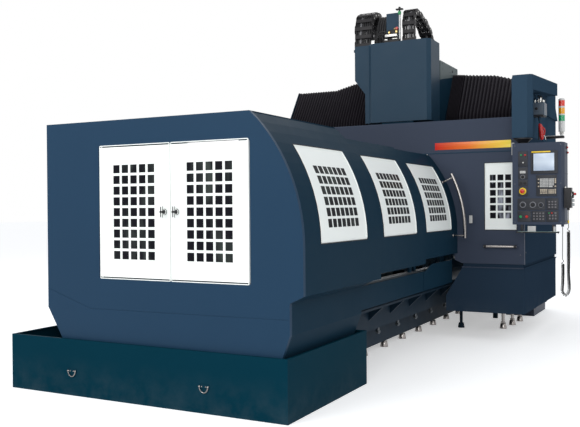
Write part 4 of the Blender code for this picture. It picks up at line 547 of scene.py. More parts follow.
def curve_through(points, count):
    """Points on a smooth curve through given ones: a cubic on each stretch, sloped by the neighbours."""
    points = np.asarray(points, float)
    knots = np.concatenate([points[:1], points, points[-1:]])
    t = np.linspace(0, len(points) - 1, count)
    k = np.minimum(t.astype(int), len(points) - 2)
    u = (t - k)[:, None]
    p0, p1, p2, p3 = knots[k], knots[k + 1], knots[k + 2], knots[k + 3]
    bend = 2 * p0 - 5 * p1 + 4 * p2 - p3
    return 0.5 * (2 * p1 + (p2 - p0) * u + bend * u**2 + (3 * (p1 - p2) + p3 - p0) * u**3)


def rounded_box(low, high, edge=0.002, axis="z", corner=None):
    """A block: its outline's corners are quarter circles, and its two ends are eased by smaller ones."""
    corner = corner or 1.6 * edge
    order = list(AXES[axis])
    start, end = np.empty(3), np.empty(3)
    start[order], end[order] = low, high
    middle, half = (start + end) / 2, (end - start) / 2
    quarter = np.arange(4)[:, None]
    turn = (np.linspace(0, math.pi / 2, 4)[None] + quarter * math.pi / 2).ravel()
    right = np.repeat([1, -1, -1, 1], 4)
    back = np.repeat([1, 1, -1, -1], 4)
    ease = np.array([0.0, 0.5, 1.0]) * math.pi / 2
    inset, rise = edge * (1 - np.sin(ease)), edge * (1 - np.cos(ease))
    reach = corner - np.concatenate([inset, inset[::-1]])[:, None]
    heights = np.concatenate([start[2] + rise, end[2] - rise[::-1]])[:, None]
    a = middle[0] + right * (half[0] - corner) + reach * np.cos(turn)
    b = middle[1] + back * (half[1] - corner) + reach * np.sin(turn)
    return skin(along(np.stack(np.broadcast_arrays(a, b, heights), -1), axis))


def drawn_in(outline, by):
    """A closed outline moved inwards: each corner slides along its two edges' inward directions, summed."""
    outline = np.asarray(outline, float)
    edge = np.roll(outline, -1, axis=0) - outline
    edge /= np.linalg.norm(edge, axis=1, keepdims=True)
    x, y = outline[:, 0], outline[:, 1]
    turned = np.sign(np.sum(x * np.roll(y, -1) - np.roll(x, -1) * y))
    normal = np.stack([-edge[:, 1], edge[:, 0]], -1) * turned
    before = np.roll(normal, 1, axis=0)
    share = 1 + np.sum(before * normal, axis=1, keepdims=True)
    return outline + by * (before + normal) / share


def extruded(outline, axis, start, end, bevel):
    """An outline carried straight from start to end, with both ends drawn in over a small bevel."""
    outline = np.asarray(outline, float)
    small = drawn_in(outline, bevel)
    plans = [(small, start), (outline, start + bevel), (outline, end - bevel), (small, end)]
    rings = np.stack([np.column_stack([flat, np.full(len(flat), height)]) for flat, height in plans])
    return skin(along(rings, axis))


def obround(length, width, steps=5):
    """The outline of a bar with half-round ends, about the origin."""
    half = np.linspace(-math.pi / 2, math.pi / 2, steps)
    reach = (length - width) / 2
    right = np.stack([reach + width / 2 * np.cos(half), width / 2 * np.sin(half)], -1)
    return np.concatenate([right, -right])


def mesh_from(name, part, finish, sharp):
    """A mesh from a part's arrays, with its faces turned outwards and its flat edges kept sharp."""
    points, lists = part
    sizes = np.concatenate([np.full(len(rows), rows.shape[1]) for rows in lists])
    corners = np.concatenate([rows.ravel() for rows in lists]).astype(np.int32)
    mesh = bpy.data.meshes.new(name)
    mesh.vertices.add(len(points))
    mesh.vertices.foreach_set("co", points.astype(np.float32).ravel())
    mesh.loops.add(len(corners))
    mesh.loops.foreach_set("vertex_index", corners)
    mesh.polygons.add(len(sizes))
    mesh.polygons.foreach_set("loop_start", (np.cumsum(sizes) - sizes).astype(np.int32))
    mesh.update(calc_edges=True)
    mesh.validate()
    edit = bmesh.new()
    edit.from_mesh(mesh)
    bmesh.ops.recalc_face_normals(edit, faces=edit.faces)
    edit.to_mesh(mesh)
    edit.free()
    mesh.materials.append(finish)
    mesh.shade_smooth()
    mesh.set_sharp_from_angle(angle=math.radians(sharp))
    return mesh


def piece(name, part, finish, body="root", sharp=35.0):
    """A new piece, of one part or a list of them, with its finish, that rides on a body."""
    part = joined(*part) if isinstance(part, list) else part
    made = bpy.data.objects.new(name, mesh_from(name, part, finish, sharp))
    bpy.context.scene.collection.objects.link(made)
    if body:
        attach(made, body)
    return made


def corners(name):
    """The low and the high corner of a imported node's box."""
    return np.array(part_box(name))


def screws(spots, axis, radius, height):
    """A list of equal cap screws that stand on the given spots."""
    return [socket_screw(spot, axis, radius, height) for spot in spots]


def collar(inner, outer, start, end, ease, axis, centre, around):
    """A turned ring between two heights whose rims close in from the outer to the inner radius."""
    profile = [(inner, start), (outer, start + ease), (outer, end - ease), (inner, end)]
    return lathe(profile, axis, centre, around)


def length_along(path):
    """The distance from the path's start to each of its points."""
    return np.concatenate([[0], np.cumsum(np.linalg.norm(np.diff(path, axis=0), axis=1))])


def sampled(at, reach, values):
    """Rows of three values, read off at some distances of a path whose own are in reach."""
    return np.stack([np.interp(at, reach, values[:, k]) for k in range(3)], -1)


def straight(ends, count):
    """Evenly spaced points on the straight line between two ends."""
    start, end = np.asarray(ends, float)[:, None]
    share = np.linspace(0, 1, count)[:, None]
    return start * (1 - share) + end * share


# Places repeated from the part: the cord's route is the same there

PENDANT_LEFT, PENDANT_RIGHT, PENDANT_LOW, PENDANT_FACE = 1.640, 2.118, 1.210, 2.720
CORD_DIAMETER, CURL_RADIUS, CURL_HIGH, CORD_LOW = 0.0065, 0.0135, 1.160, 0.515
CURL_TIGHT, CURL_LOOSE = 0.0088, 0.0150
HOLE_PITCH, HOLE_SIZE = 0.078, 0.060
GUARD_RIGHT, ARC_RADIUS, ARC_HEIGHT = 1.037, 1.227, 1.140
ARC_CENTRE = GUARD_RIGHT - ARC_RADIUS
SECTION_NEST = 0.018
WINDOW_LOW, WINDOW_HIGH = 1.150, 1.868
DOOR_FACE = -0.623


def curled(route, radius, tight, loose, ease_length=0.075, per_turn=16):
    """A screw line round a route in the x-z plane: the turn's angle is the sum of length over pitch,
    the pitch is loose where the route bends, and over both ends the radius grows from nothing."""
    fine = curve_through(route, 3000)
    reach = length_along(fine)
    ahead = np.gradient(fine, axis=0)
    ahead /= np.linalg.norm(ahead, axis=1, keepdims=True)
    bend = np.linalg.norm(np.gradient(ahead, reach, axis=0), axis=1)
    bend = np.convolve(np.pad(bend, 60, mode="edge"), np.full(121, 1 / 121), mode="valid")
    lead = np.clip(np.minimum(reach, reach[-1] - reach) / ease_length, 0, 1)
    ease = lead * lead * (3 - 2 * lead)
    pitch = tight + (loose - tight) * np.clip(bend / 22, 0, 1) + 0.020 * (1 - ease)
    pitch = np.hypot(pitch, 2.5 * math.pi * radius * np.sqrt(ease * (1 - ease)))
    angle = np.concatenate([[0], np.cumsum(np.diff(reach) / pitch[1:])]) * 2 * math.pi
    count = int(angle[-1] / (2 * math.pi) * per_turn)
    at = np.interp(np.linspace(0, angle[-1], count), angle, reach)
    centre, direction = sampled(at, reach, fine), sampled(at, reach, ahead)
    across = np.stack([direction[:, 2], np.zeros(count), -direction[:, 0]], -1)
    angle = np.interp(at, reach, angle)[:, None]
    size = radius * np.interp(at, reach, ease)[:, None]
    return centre + size * (np.cos(angle) * across + np.sin(angle) * np.array([0.0, 1.0, 0.0]))


def cord_path():
    """The hand wheel cord's line: down, through its curls, round a hanging loop and up into the box."""
    low_corner, high_corner = corners("handwheel_cord_top")
    x, y = (low_corner[:2] + high_corner[:2]) / 2
    top = high_corner[2]
    back_x, back_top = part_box("pendant_box")[1][0] - 0.022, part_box("handwheel_cord_tail")[1][2]
    low = CORD_LOW + CORD_DIAMETER / 2
    start = [(x, y, top), (x, y, top - 0.05), (x, y, CURL_HIGH + 0.055)]
    route = [
        (x, y, CURL_HIGH + 0.050),
        (x, y, CURL_HIGH - 0.050),
        (x, y, 0.980),
        (x - 0.001, y, 0.860),
        (x - 0.002, y, 0.740),
        (x + 0.004, y, 0.620),
        (x - 0.002, y, low + 0.048),
        ((x + back_x) / 2 - 0.002, y, low + 0.016),
        (back_x - 0.006, y, low + 0.052),
        (back_x - 0.002, y, 0.660),
        (back_x + 0.001, y, 0.780),
        (back_x - 0.002, y, 0.900),
    ]
    rise = [
        (back_x - 0.002, y, 0.904),
        (back_x - 0.002, y, 0.960),
        (back_x, y, back_top - 0.060),
        (back_x, y, back_top),
    ]
    turns = curled(route, CURL_RADIUS, CURL_TIGHT, CURL_LOOSE)
    return np.concatenate([curve_through(start, 10), turns[1:-1], curve_through(rise, 24)])


def handwheel_cord():
    """The hand wheel's cord as a round curve on its path, with a yellow collar near its top."""
    path = cord_path()
    curve = bpy.data.curves.new("handwheel_cord", "CURVE")
    curve.dimensions = "3D"
    curve.bevel_depth = CORD_DIAMETER / 2
    curve.bevel_resolution = 3
    curve.use_fill_caps = True
    spline = curve.splines.new("POLY")
    spline.points.add(len(path) - 1)
    spline.points.foreach_set("co", np.column_stack([path, np.ones(len(path))]).astype(np.float32).ravel())
    curve.materials.append(CORD_RUBBER)
    cord = bpy.data.objects.new("handwheel_cord", curve)
    bpy.context.scene.collection.objects.link(cord)
    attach(cord, "pendant")
    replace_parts(cord, "handwheel_cord_top", "handwheel_cord_curl", "handwheel_cord_tail")
    rings = [(0.0034, 0), (0.0062, 0.002), (0.0066, 0.026), (0.0034, 0.029)]
    tag = piece("cord_collar", lathe(rings, "z", (*path[0, :2], 1.222), 16), YELLOW_PLASTIC, "pendant")


def side_skin(across, up, depth, inset=0.0):
    """The guard's right side, counted along y and up its skin: upright, then round the arc."""
    angle = np.maximum(up - ARC_HEIGHT, 0) / ARC_RADIUS
    reach = ARC_RADIUS - inset - depth
    x = ARC_CENTRE + reach * np.cos(angle)
    z = np.minimum(up, ARC_HEIGHT) + reach * np.sin(angle)
    return np.stack(np.broadcast_arrays(x, across, z), -1)


def flat_skin(face, side=1):
    """A flat upright surface that faces the front, counted along x, mirrored for the left side, and up."""

    def surface(across, up, depth):
        return np.stack(np.broadcast_arrays(side * across, face + depth, up), -1)

    return surface


def hole_starts(start, count):
    return start + HOLE_PITCH * np.arange(count)


def centred_holes(span, count):
    """The starts of a row of holes in the middle of a span."""
    return hole_starts((span[0] + span[1] - ((count - 1) * HOLE_PITCH + HOLE_SIZE)) / 2, count)


def tiles(surface, columns, rows, near, far, margin=0.0003):
    """A thin six-sided pane in each hole of a grid, between two depths below a surface."""
    across, up = np.meshgrid(columns, rows)
    stretch = margin + np.array([0, 1, 1, 0]) * (HOLE_SIZE - 2 * margin)
    rise = margin + np.array([0, 0, 1, 1]) * (HOLE_SIZE - 2 * margin)
    a, b = across.reshape(-1, 1) + stretch, up.reshape(-1, 1) + rise
    points = np.concatenate([surface(a, b, near), surface(a, b, far)], axis=1)
    sides = np.array([[0, 1, 2, 3], [7, 6, 5, 4], [0, 4, 5, 1], [1, 5, 6, 2], [2, 6, 7, 3], [3, 7, 4, 0]])
    return laid_out(points, [sides])


def window_frame(surface, low, high, across, grow, radius, corner, depth):
    """A bead round a window grown by a margin: a closed tube on a surface, with round corners."""
    low, high, left, right = low - grow, high + grow, across[0] - grow, across[1] + grow
    turn = (np.linspace(0, math.pi / 2, 6)[None] + np.arange(4)[:, None] * math.pi / 2).ravel()
    far = np.repeat([1, 0, 0, 1], 6)
    top = np.repeat([1, 1, 0, 0], 6)
    y = left + corner + far * (right - left - 2 * corner) + corner * np.cos(turn)
    s = low + corner + top * (high - low - 2 * corner) + corner * np.sin(turn)
    loop = np.stack([y, s], -1)
    after = np.roll(loop, -1, axis=0)
    share = np.linspace(0, 1, 8, endpoint=False)[None, :, None]
    fine = (loop[:, None] * (1 - share) + after[:, None] * share).reshape(-1, 2)
    path = surface(fine[:, 0], fine[:, 1], depth)
    return tube(path, radius, up=np.array([0.83, 0.31, 0.46]), around=8, closed=True)


def side_windows():
    """Panes behind the three curved windows' holes, dark with painted shade and clouded with painted
    reflections, and a black gasket and a white bead round each.
    """
    plans = (
        ("fixed_guard_window", "root"),
        ("middle_guard_window", "middle_section"),
        ("operator_door_window", "operator_section"),
    )
    for order, (name, body) in enumerate(plans):
        span = corners(name)[:, 1]

        def surface(across, up, depth, inset=order * SECTION_NEST):
            return side_skin(across, up, depth, inset)

        rows = hole_starts(WINDOW_LOW + 0.1053, 6)
        piece(name + "_panes", tiles(surface, centred_holes(span, 7), rows, 0.0012, 0.0021), PANE, body)
        seal = window_frame(surface, WINDOW_LOW, WINDOW_HIGH, span, 0.001, 0.0035, 0.006, 0.0010)
        piece(name + "_gasket", seal, GASKET, body)
        bead = window_frame(surface, WINDOW_LOW, WINDOW_HIGH, span, -0.010, 0.0045, 0.010, -0.0005)
        piece(name + "_bead", bead, WHITE_PAINT, body)


def front_doors():
    """Panes behind the leaves' holes and a rolled bead round each leaf."""
    columns, rows = hole_starts(0.13825, 5), hole_starts(1.028, 9)
    for side, hand in ((-1, "left"), (1, "right")):
        name, body = f"front_{hand}_door", f"front_{hand}_leaf"
        (left, _, low), (right, _, high) = corners(name)
        panes = tiles(flat_skin(DOOR_FACE, side), columns, rows, 0.0030, 0.0039)
        piece(name + "_panes", panes, PANE, body)
        span = (left - 0.002, right + 0.002)
        bead = window_frame(flat_skin(DOOR_FACE), low, high, span, -0.006, 0.0035, 0.006, 0.0)
        piece(name + "_bead", bead, WHITE_PAINT, body)


def cabin_window_panes():
    """Panes, gasket and bead of the flat window in the right front cover."""
    (left, front, low), (right, _, high) = corners("cabin_window")
    surface, span = flat_skin(front - 0.002), (left, right)
    rows = hole_starts(low + 0.1182, 6)
    panes = tiles(surface, centred_holes(span, 3), rows, 0.0015, 0.0024)
    piece("cabin_window_panes", panes, BRIGHT_PANE)
    seal = window_frame(surface, low, high, span, 0.001, 0.0035, 0.006, 0.001)
    piece("cabin_window_gasket", seal, GASKET)
    bead = window_frame(surface, low, high, span, -0.008, 0.004, 0.008, -0.0005)
    piece("cabin_window_bead", bead, WHITE_PAINT)


LEFT_ARCH = (
    (3.450, 3.2323), (3.450, 3.460), (3.490, 3.600), (3.580, 3.675), (3.700, 3.695),
    (3.830, 3.660), (3.930, 3.560), (3.960, 3.420), (3.960, 2.9053),
)
RIGHT_ARCH = (
    (3.450, 3.2363), (3.450, 3.480), (3.480, 3.600), (3.590, 3.660), (3.800, 3.625),
    (4.000, 3.565), (4.170, 3.450), (4.270, 3.280), (4.280, 3.0503),
)
LINK_PITCH, LINK_HEIGHT, LINK_PLATE = 0.098, 0.070, 0.006


def inwards(ahead):
    """The directions at right angles to a route in the y-z plane, towards the inside of its arch."""
    return np.stack([ahead[:, 0], ahead[:, 2], -ahead[:, 1]], -1)


def set_on_route(part, spots, ahead):
    """Copies of a part on a route in the y-z plane: its values run along the route, inwards and across."""
    points, faces = part
    across = np.array([1.0, 0, 0])
    world = spots[:, None] + points[None, :, :1] * ahead[:, None]
    world = world + points[None, :, 1:2] * inwards(ahead)[:, None] + points[None, :, 2:] * across
    return laid_out(world, faces)


def flipped(part, signs, shift):
    """A part turned over: its values are multiplied by the signs and then moved by the shift."""
    points, faces = part
    return points * signs + shift, faces


def link(width, pitch, outer):
    """One chain link: two side plates with round ends and bosses, cross bars with clips, two dividers."""
    height = LINK_HEIGHT
    start = 0.0 if outer else LINK_PLATE + 0.0006
    outline = obround(1.24 * pitch, 0.94 * height) + (0, height / 2)
    plate = extruded(outline, "z", start, start + LINK_PLATE, 0.0012)
    boss = lathe([(0.021, 0.0), (0.021, 0.0014), (0.016, 0.0024)], "-z", (0, height / 2, start + 0.0004), 14)
    near = start + LINK_PLATE - 0.001
    bar = rounded_box((-0.22 * pitch, 0.0005, near), (0.22 * pitch, 0.0085, width - near), 0.0016)
    clip = rounded_box((-0.10 * pitch, -0.0004, near + 0.004), (0.10 * pitch, 0.004, near + 0.016), 0.001)
    divider = rounded_box((-0.13 * pitch, 0.006, -0.002), (0.13 * pitch, height - 0.006, 0.002), 0.0008)
    inner_bar, inner_clip = (flipped(part, (1, -1, 1), (0, height, 0)) for part in (bar, clip))
    half = joined(plate, boss, clip, inner_clip)
    dividers = [flipped(divider, 1, (0, 0, width * share)) for share in (0.34, 0.66)]
    return joined(half, flipped(half, (1, 1, -1), (0, 0, width)), bar, inner_bar, *dividers)


def cable_chain(name, knots, left, width):
    """A cable chain in an arch: links with open windows, steel pins, a foot and the hoses it carries."""
    fine = curve_through([(left, y, z) for y, z in knots], 900)
    reach = length_along(fine)
    count = round(reach[-1] / LINK_PITCH)
    pitch = reach[-1] / count

    def placed(distance, step=0.03):
        ahead = sampled(distance + step, reach, fine) - sampled(distance - step, reach, fine)
        return sampled(distance, reach, fine), ahead / np.linalg.norm(ahead, axis=1, keepdims=True)

    spots, ahead = placed((np.arange(count) + 0.5) * pitch)
    links = [set_on_route(link(width, pitch, k == 0), spots[k::2], ahead[k::2]) for k in (0, 1)]
    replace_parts(piece(name + "_links", links, CHAIN_PLASTIC, "carriage"), name)
    pin = lathe([(0.010, -0.0005), (0.010, 0.0012), (0.006, 0.0022)], "-z", (0, LINK_HEIGHT / 2, 0.0), 12)
    both = joined(pin, flipped(pin, (1, 1, -1), (0, 0, width)))
    piece(name + "_pins", set_on_route(both, *placed(np.arange(1, count) * pitch)), ZINC, "carriage")
    spots, ahead = placed(np.linspace(0.002, reach[-1] - 0.002, 110))
    middle = spots + inwards(ahead) * LINK_HEIGHT / 2
    count = round(width / 0.029)
    shares = (np.arange(count) + 0.5) / count
    radii = 0.0128 + 0.0018 * np.cos(2.3 * np.arange(count))
    hoses = [tube(middle + (width * share, 0, 0), radius, (1, 0, 0)) for share, radius in zip(shares, radii)]
    piece(name + "_hoses", hoses[:2] + hoses[3:], HOSE_RUBBER, "carriage")
    piece(name + "_cable", hoses[2], CABLE_GREY, "carriage")
    (y, z), right = knots[0], left + width
    far = (right - 0.004, y + LINK_HEIGHT - 0.006, z + 0.004)
    bracket = rounded_box((left + 0.004, y + 0.006, z), far, 0.001)
    spots = [(left + width * share, y + 0.016, z + 0.004) for share in (0.3, 0.7)]
    piece(name + "_foot", [bracket, *screws(spots, "z", 0.006, 0.006)], ZINC, "carriage")


BEAM_FACE, BEAM_FACE_TURN, BEAM_FACE_TOP, BEAM_LEAN = 3.860, 2.430, 2.800, 0.280
PLEAT_REAR, PLEAT_LOW, PLEAT_ROUND = 4.380, 2.180, 0.10
PLEAT_OUT, PLEAT_IN, CLOTH = 0.0455, 0.021, 0.0018
BELLOWS_END = 1.3995


def pleat_section(x, gap, rise):
    """Points of the cover's section at each x: up the beam's front, over its slant, back along its top."""
    slope = BEAM_LEAN / (BEAM_FACE_TOP - BEAM_FACE_TURN)
    turn = gap * (math.sqrt(1 + slope * slope) - slope)
    front, top = BEAM_FACE - gap, BEAM_FACE_TOP + gap + rise
    ends = (
        (front, np.full_like(x, PLEAT_LOW)),
        (front, BEAM_FACE_TURN + gap * 0.3),
        (BEAM_FACE + BEAM_LEAN - turn, top),
        (np.full_like(x, PLEAT_REAR), top),
    )
    knees = np.stack([np.stack([x, y, z], -1) for y, z in ends], 1)
    weights = [[1 - share, share, 0, 0] for share in np.linspace(0, 1 - PLEAT_ROUND, 4)]
    for corner in (1, 2):
        for t in np.linspace(0, 1, 5)[1:]:
            row = np.zeros(4)
            row[corner - 1] += PLEAT_ROUND * (1 - t) ** 2
            row[corner] += (1 - PLEAT_ROUND) * (1 - t) ** 2 + 2 * t * (1 - t) + (1 - PLEAT_ROUND) * t**2
            row[corner + 1] += PLEAT_ROUND * t**2
            weights.append(row)
        for share in np.linspace(PLEAT_ROUND, 1 - PLEAT_ROUND if corner == 1 else 1, 5)[1:]:
            row = np.zeros(4)
            row[corner], row[corner + 1] = 1 - share, share
            weights.append(row)
    return np.einsum("ij,njk->nik", np.array(weights, float), knees)


def bellows(name, places, pleats):
    """A pleated cloth cover: along x the cloth zigzags between two gaps, closer where it is bunched."""
    phase = np.linspace(0, pleats[-1], int(pleats[-1] * 6) + 1)
    x = np.interp(phase, pleats, places)
    fold = 1 - np.abs(2 * (phase % 1) - 1)
    gap = PLEAT_IN + (PLEAT_OUT - PLEAT_IN) * fold
    shares = np.array([-1.0, -0.629, -0.443, 0.464, 0.821, 1.0])
    rise = np.interp(x / 1.40, shares, [0.042, 0.042, 0.108, 0.117, 0.070, 0.0])
    rise = rise + 0.55 * (PLEAT_OUT - gap)
    outer = pleat_section(x, gap, rise)
    inner = pleat_section(x, gap - CLOTH, rise)
    cloth = skin(np.concatenate([outer, inner[:, ::-1]], axis=1))
    made = piece(name + "_pleats", cloth, BELLOWS_CLOTH, None, 30.0)
    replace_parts(made, name)
    # The fold share per point drives the cloth's painted shade in the folds and painted highlight on the
    # ridges.
    ridge = np.repeat(fold, outer.shape[1] + inner.shape[1]).astype(np.float32)
    made.data.attributes.new("fold", "FLOAT", "POINT").data.foreach_set("value", ridge)
    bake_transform(made)


def both_bellows():
    """The left cover, evenly pleated, and the right one, which is bunched close to the saddle."""
    low, high = corners("saddle")
    left, right = low[0] - 0.0005, high[0] + 0.0005
    bellows("left_bellows", [-BELLOWS_END, left], [0, 30])
    places = [right, right + 0.139, BELLOWS_END]
    bellows("right_bellows", places, [0, 9, 24])


def colour_band():
    """A plain band of warm colours along the beam cover, and the blank plates on the cabin front."""
    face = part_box("beam_cover")[0][1]
    band = rounded_box((0.762, face - 0.0012, 1.990), (1.559, face + 0.0006, 2.065), 0.0004, "y")
    piece("beam_cover_band", band, BAND)
    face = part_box("right_cabin_front")[0][1]
    plates = [
        rounded_box((x0, face - 0.0016, z0), (x1, face + 0.0006, z1), 0.0006, "y")
        for x0, z0, x1, z1 in ((1.576, 1.905, 1.604, 2.030), (1.140, 1.216, 1.174, 1.296))
    ]
    piece("blank_plates", plates, KEY_WHITE)


def signal_lamps():
    """The tower's three ribbed lenses, its collars, cap and elbow nuts."""
    x, y = 1.862, 4.290
    axis = (x, y, 0)
    for name, finish, start, end in (
        ("tower_red", RED_LENS, 2.522, 2.586),
        ("tower_amber", AMBER_LENS, 2.434, 2.502),
        ("tower_green", GREEN_LENS, 2.352, 2.418),
    ):
        heights = np.linspace(start, end, 2 * 9 + 1)
        radius = 0.0346 + 0.0008 * (np.arange(len(heights)) % 2)
        piece(name, lathe(np.column_stack([radius, heights]), "z", axis, 32), finish)
    cap = lathe([(0.0345, 2.588), (0.0355, 2.592), (0.0345, 2.602), (0.026, 2.6095)], "z", axis, 32)
    rings = [collar(0.0335, 0.0352, 2.234, 2.334, 0.004, "z", axis, 32)]
    rings += [collar(0.033, 0.0362, z, z + 0.014, 0.001, "z", axis, 32) for z in (2.338, 2.420, 2.506)]
    piece("tower_collars", [cap, *rings], LAMP_WHITE)
    piece("tower_nut", collar(0.0195, 0.024, 2.206, 2.226, 0.002, "z", axis, 6), ZINC)
    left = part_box("signal_tower")[0][0] - 0.0002
    elbow = rounded_box((left, y - 0.031, 2.158), (x + 0.026, y + 0.031, 2.186), 0.005, "x")
    piece("tower_elbow", elbow, BLACK_PLASTIC)


def lubricator():
    """The silver block under the arm: caps and fittings on top, a gauge and two bent hoses."""
    x0, x1, y0, y1, z0, z1 = 1.687, 1.810, 3.470, 3.645, 2.346, 2.480
    case = rounded_box((x0 + 0.004, y0 - 0.0015, z0 - 0.001), (x1 + 0.001, y1 + 0.001, z1 + 0.001), 0.006)
    piece("lubricator_case", case, CASE_GREY)
    shape = np.array([(0.6, 0), (0.6, 0.3), (1, 0.34), (1, 0.92), (0.8, 1)])
    caps = [
        lathe(shape * (radius, height), "z", (x, y, z1), 14)
        for x, y, radius, height in (
            (1.712, 3.50, 0.014, 0.030), (1.742, 3.52, 0.012, 0.044), (1.770, 3.49, 0.015, 0.050),
            (1.792, 3.53, 0.012, 0.030), (1.730, 3.60, 0.013, 0.040), (1.785, 3.60, 0.012, 0.036),
        )
    ]
    piece("lubricator_caps", caps, ZINC)
    bends = np.array([(0, 0, 0), (0, 0, 0.05), (-0.02, 0.05, 0.085), (-0.04, 0.12, 0.09)])
    starts = ((1.750, 3.56, z1), (1.772, 3.57, z1))
    hoses = [tube(curve_through(bends + start, 24), 0.006, (0.9, 0.4, 0.1)) for start in starts]
    piece("lubricator_hoses", hoses, HOSE_RUBBER)
    foot = rounded_box((x0 + 0.010, y0 - 0.0025, z0 - 0.010), (x1 - 0.004, y1, z0 + 0.006), 0.003)
    gauge = lathe([(0.014, 0), (0.014, 0.008), (0.011, 0.010)], "-y", (1.735, y0, 2.415))
    piece("lubricator_foot", [foot, gauge], BLACK_PLASTIC)


def air_gun():
    """The red blow gun that hangs from the lubricator: grip, lever, nozzle and its black hose."""

    def bent(knots, count, radius, up=(0, 1, 0), around=10):
        return tube(curve_through(knots, count), radius, up, around)

    spine = [(1.750, 2.262), (1.758, 2.235), (1.768, 2.180), (1.772, 2.120), (1.780, 2.088)]
    size = np.interp(np.linspace(0, 1, 20), [0, 0.2, 0.5, 0.85, 1], [0.012, 0.021, 0.024, 0.020, 0.011])
    lever = [(1.770, 2.236), (1.800, 2.205), (1.802, 2.165), (1.796, 2.140)]
    nozzle = [(1.786, 2.150), (1.806, 2.120), (1.812, 2.090)]
    spine, lever, nozzle = ([(x, 3.55, z) for x, z in line] for line in (spine, lever, nozzle))
    piece("air_gun_grip", [bent(spine, 20, size, around=14), bent(lever, 14, 0.0065)], RED_PLASTIC)
    piece("air_gun_nozzle", bent(nozzle, 10, 0.0045), ZINC)
    hose = [
        (1.742, 3.550, 2.350), (1.742, 3.550, 2.310), (1.752, 3.556, 2.285),
        (1.762, 3.552, 2.300), (1.752, 3.545, 2.270),
    ]
    piece("air_gun_hose", bent(hose, 36, 0.0055, (0.3, 1, 0.1)), HOSE_RUBBER)
    tail = [(1.744, 3.552, 2.240), (1.742, 3.552, 2.180), (1.742, 3.552, 2.090)]
    piece("air_gun_hose_tail", bent(tail, 12, 0.007), HOSE_RUBBER)


# The pendant's parts lie on three levels: the face, the lower plates and the upper plates

PANEL_BASE, PLATE_BASE, UPPER_BASE = 0.004, 0.0045, 0.007


def on_face(x, z, base=0.0):
    """A place on the pendant's face, from offsets to the box's left bottom corner."""
    return PENDANT_LEFT + x, PENDANT_FACE - base, PENDANT_LOW + z


def pendant_face(x0, z0, x1, z1, raised=0.003, edge=0.0012, base=0.0):
    """A key or plate on the pendant's face, between two corners, that stands out by its raised height."""
    return rounded_box(on_face(x0, z0, base + raised), on_face(x1, z1, base - 0.0006), edge, "y")


def key_field(x0, z0, x1, z1, across, up, gap=0.0022, raised=0.004, base=PANEL_BASE):
    """Rows of equal keys that fill a rectangle of the pendant's face."""
    wide, tall = (x1 - x0 + gap) / across, (z1 - z0 + gap) / up
    key = pendant_face(x0, z0, x0 + wide - gap, z0 + tall - gap, raised, 0.0010, base)
    i, k = np.meshgrid(np.arange(across), np.arange(up))
    return repeated(key, np.stack([i.ravel() * wide, np.zeros(i.size), k.ravel() * tall], -1))


def dial(x, z, radius, height, base=0.0, around=20):
    """A turned knob on the pendant's face: a skirt, a waist and a rounded top."""
    profile = np.array([(1, 0), (1, 0.2), (0.78, 0.3), (0.72, 0.86), (0.60, 1)]) * (radius, height)
    return lathe(profile, "-y", on_face(x, z, base), around)


def pointer(x, z, radius, height, angle):
    """The raised bar across a rotary switch's top, turned by an angle."""
    length, wide = 1.5 * radius, 0.36 * radius
    points, faces = rounded_box((-length / 2, -0.005, -wide / 2), (length / 2, 0, wide / 2), 0.0012, "y")
    c, s = math.cos(angle), math.sin(angle)
    return points @ np.array([[c, 0, s], [0, 1, 0], [-s, 0, c]]) + on_face(x, z, height), faces


def pendant_screen():
    """The display with its bezel, the blank yellow strip over it and the side column of soft keys."""
    bezel = [(0.176, 0.489, 0.426, 0.709, 0.004, 0.0016), (0.178, 0.520, 0.190, 0.680, 0.006, 0.001)]
    for name, finish, rows in (
        ("bezel", PANEL_GREY, bezel),
        ("screen_frame", BLACK_PLASTIC, [(0.197, 0.512, 0.401, 0.690, 0.006, 0.0015)]),
        ("display", DISPLAY, [(0.203, 0.518, 0.395, 0.685, 0.0072, 0.0006)]),
        ("strip", YELLOW_PLASTIC, [(0.184, 0.693, 0.360, 0.706, 0.0072, 0.0006)]),
    ):
        piece("pendant_" + name, [pendant_face(*row, PANEL_BASE) for row in rows], finish, "pendant")


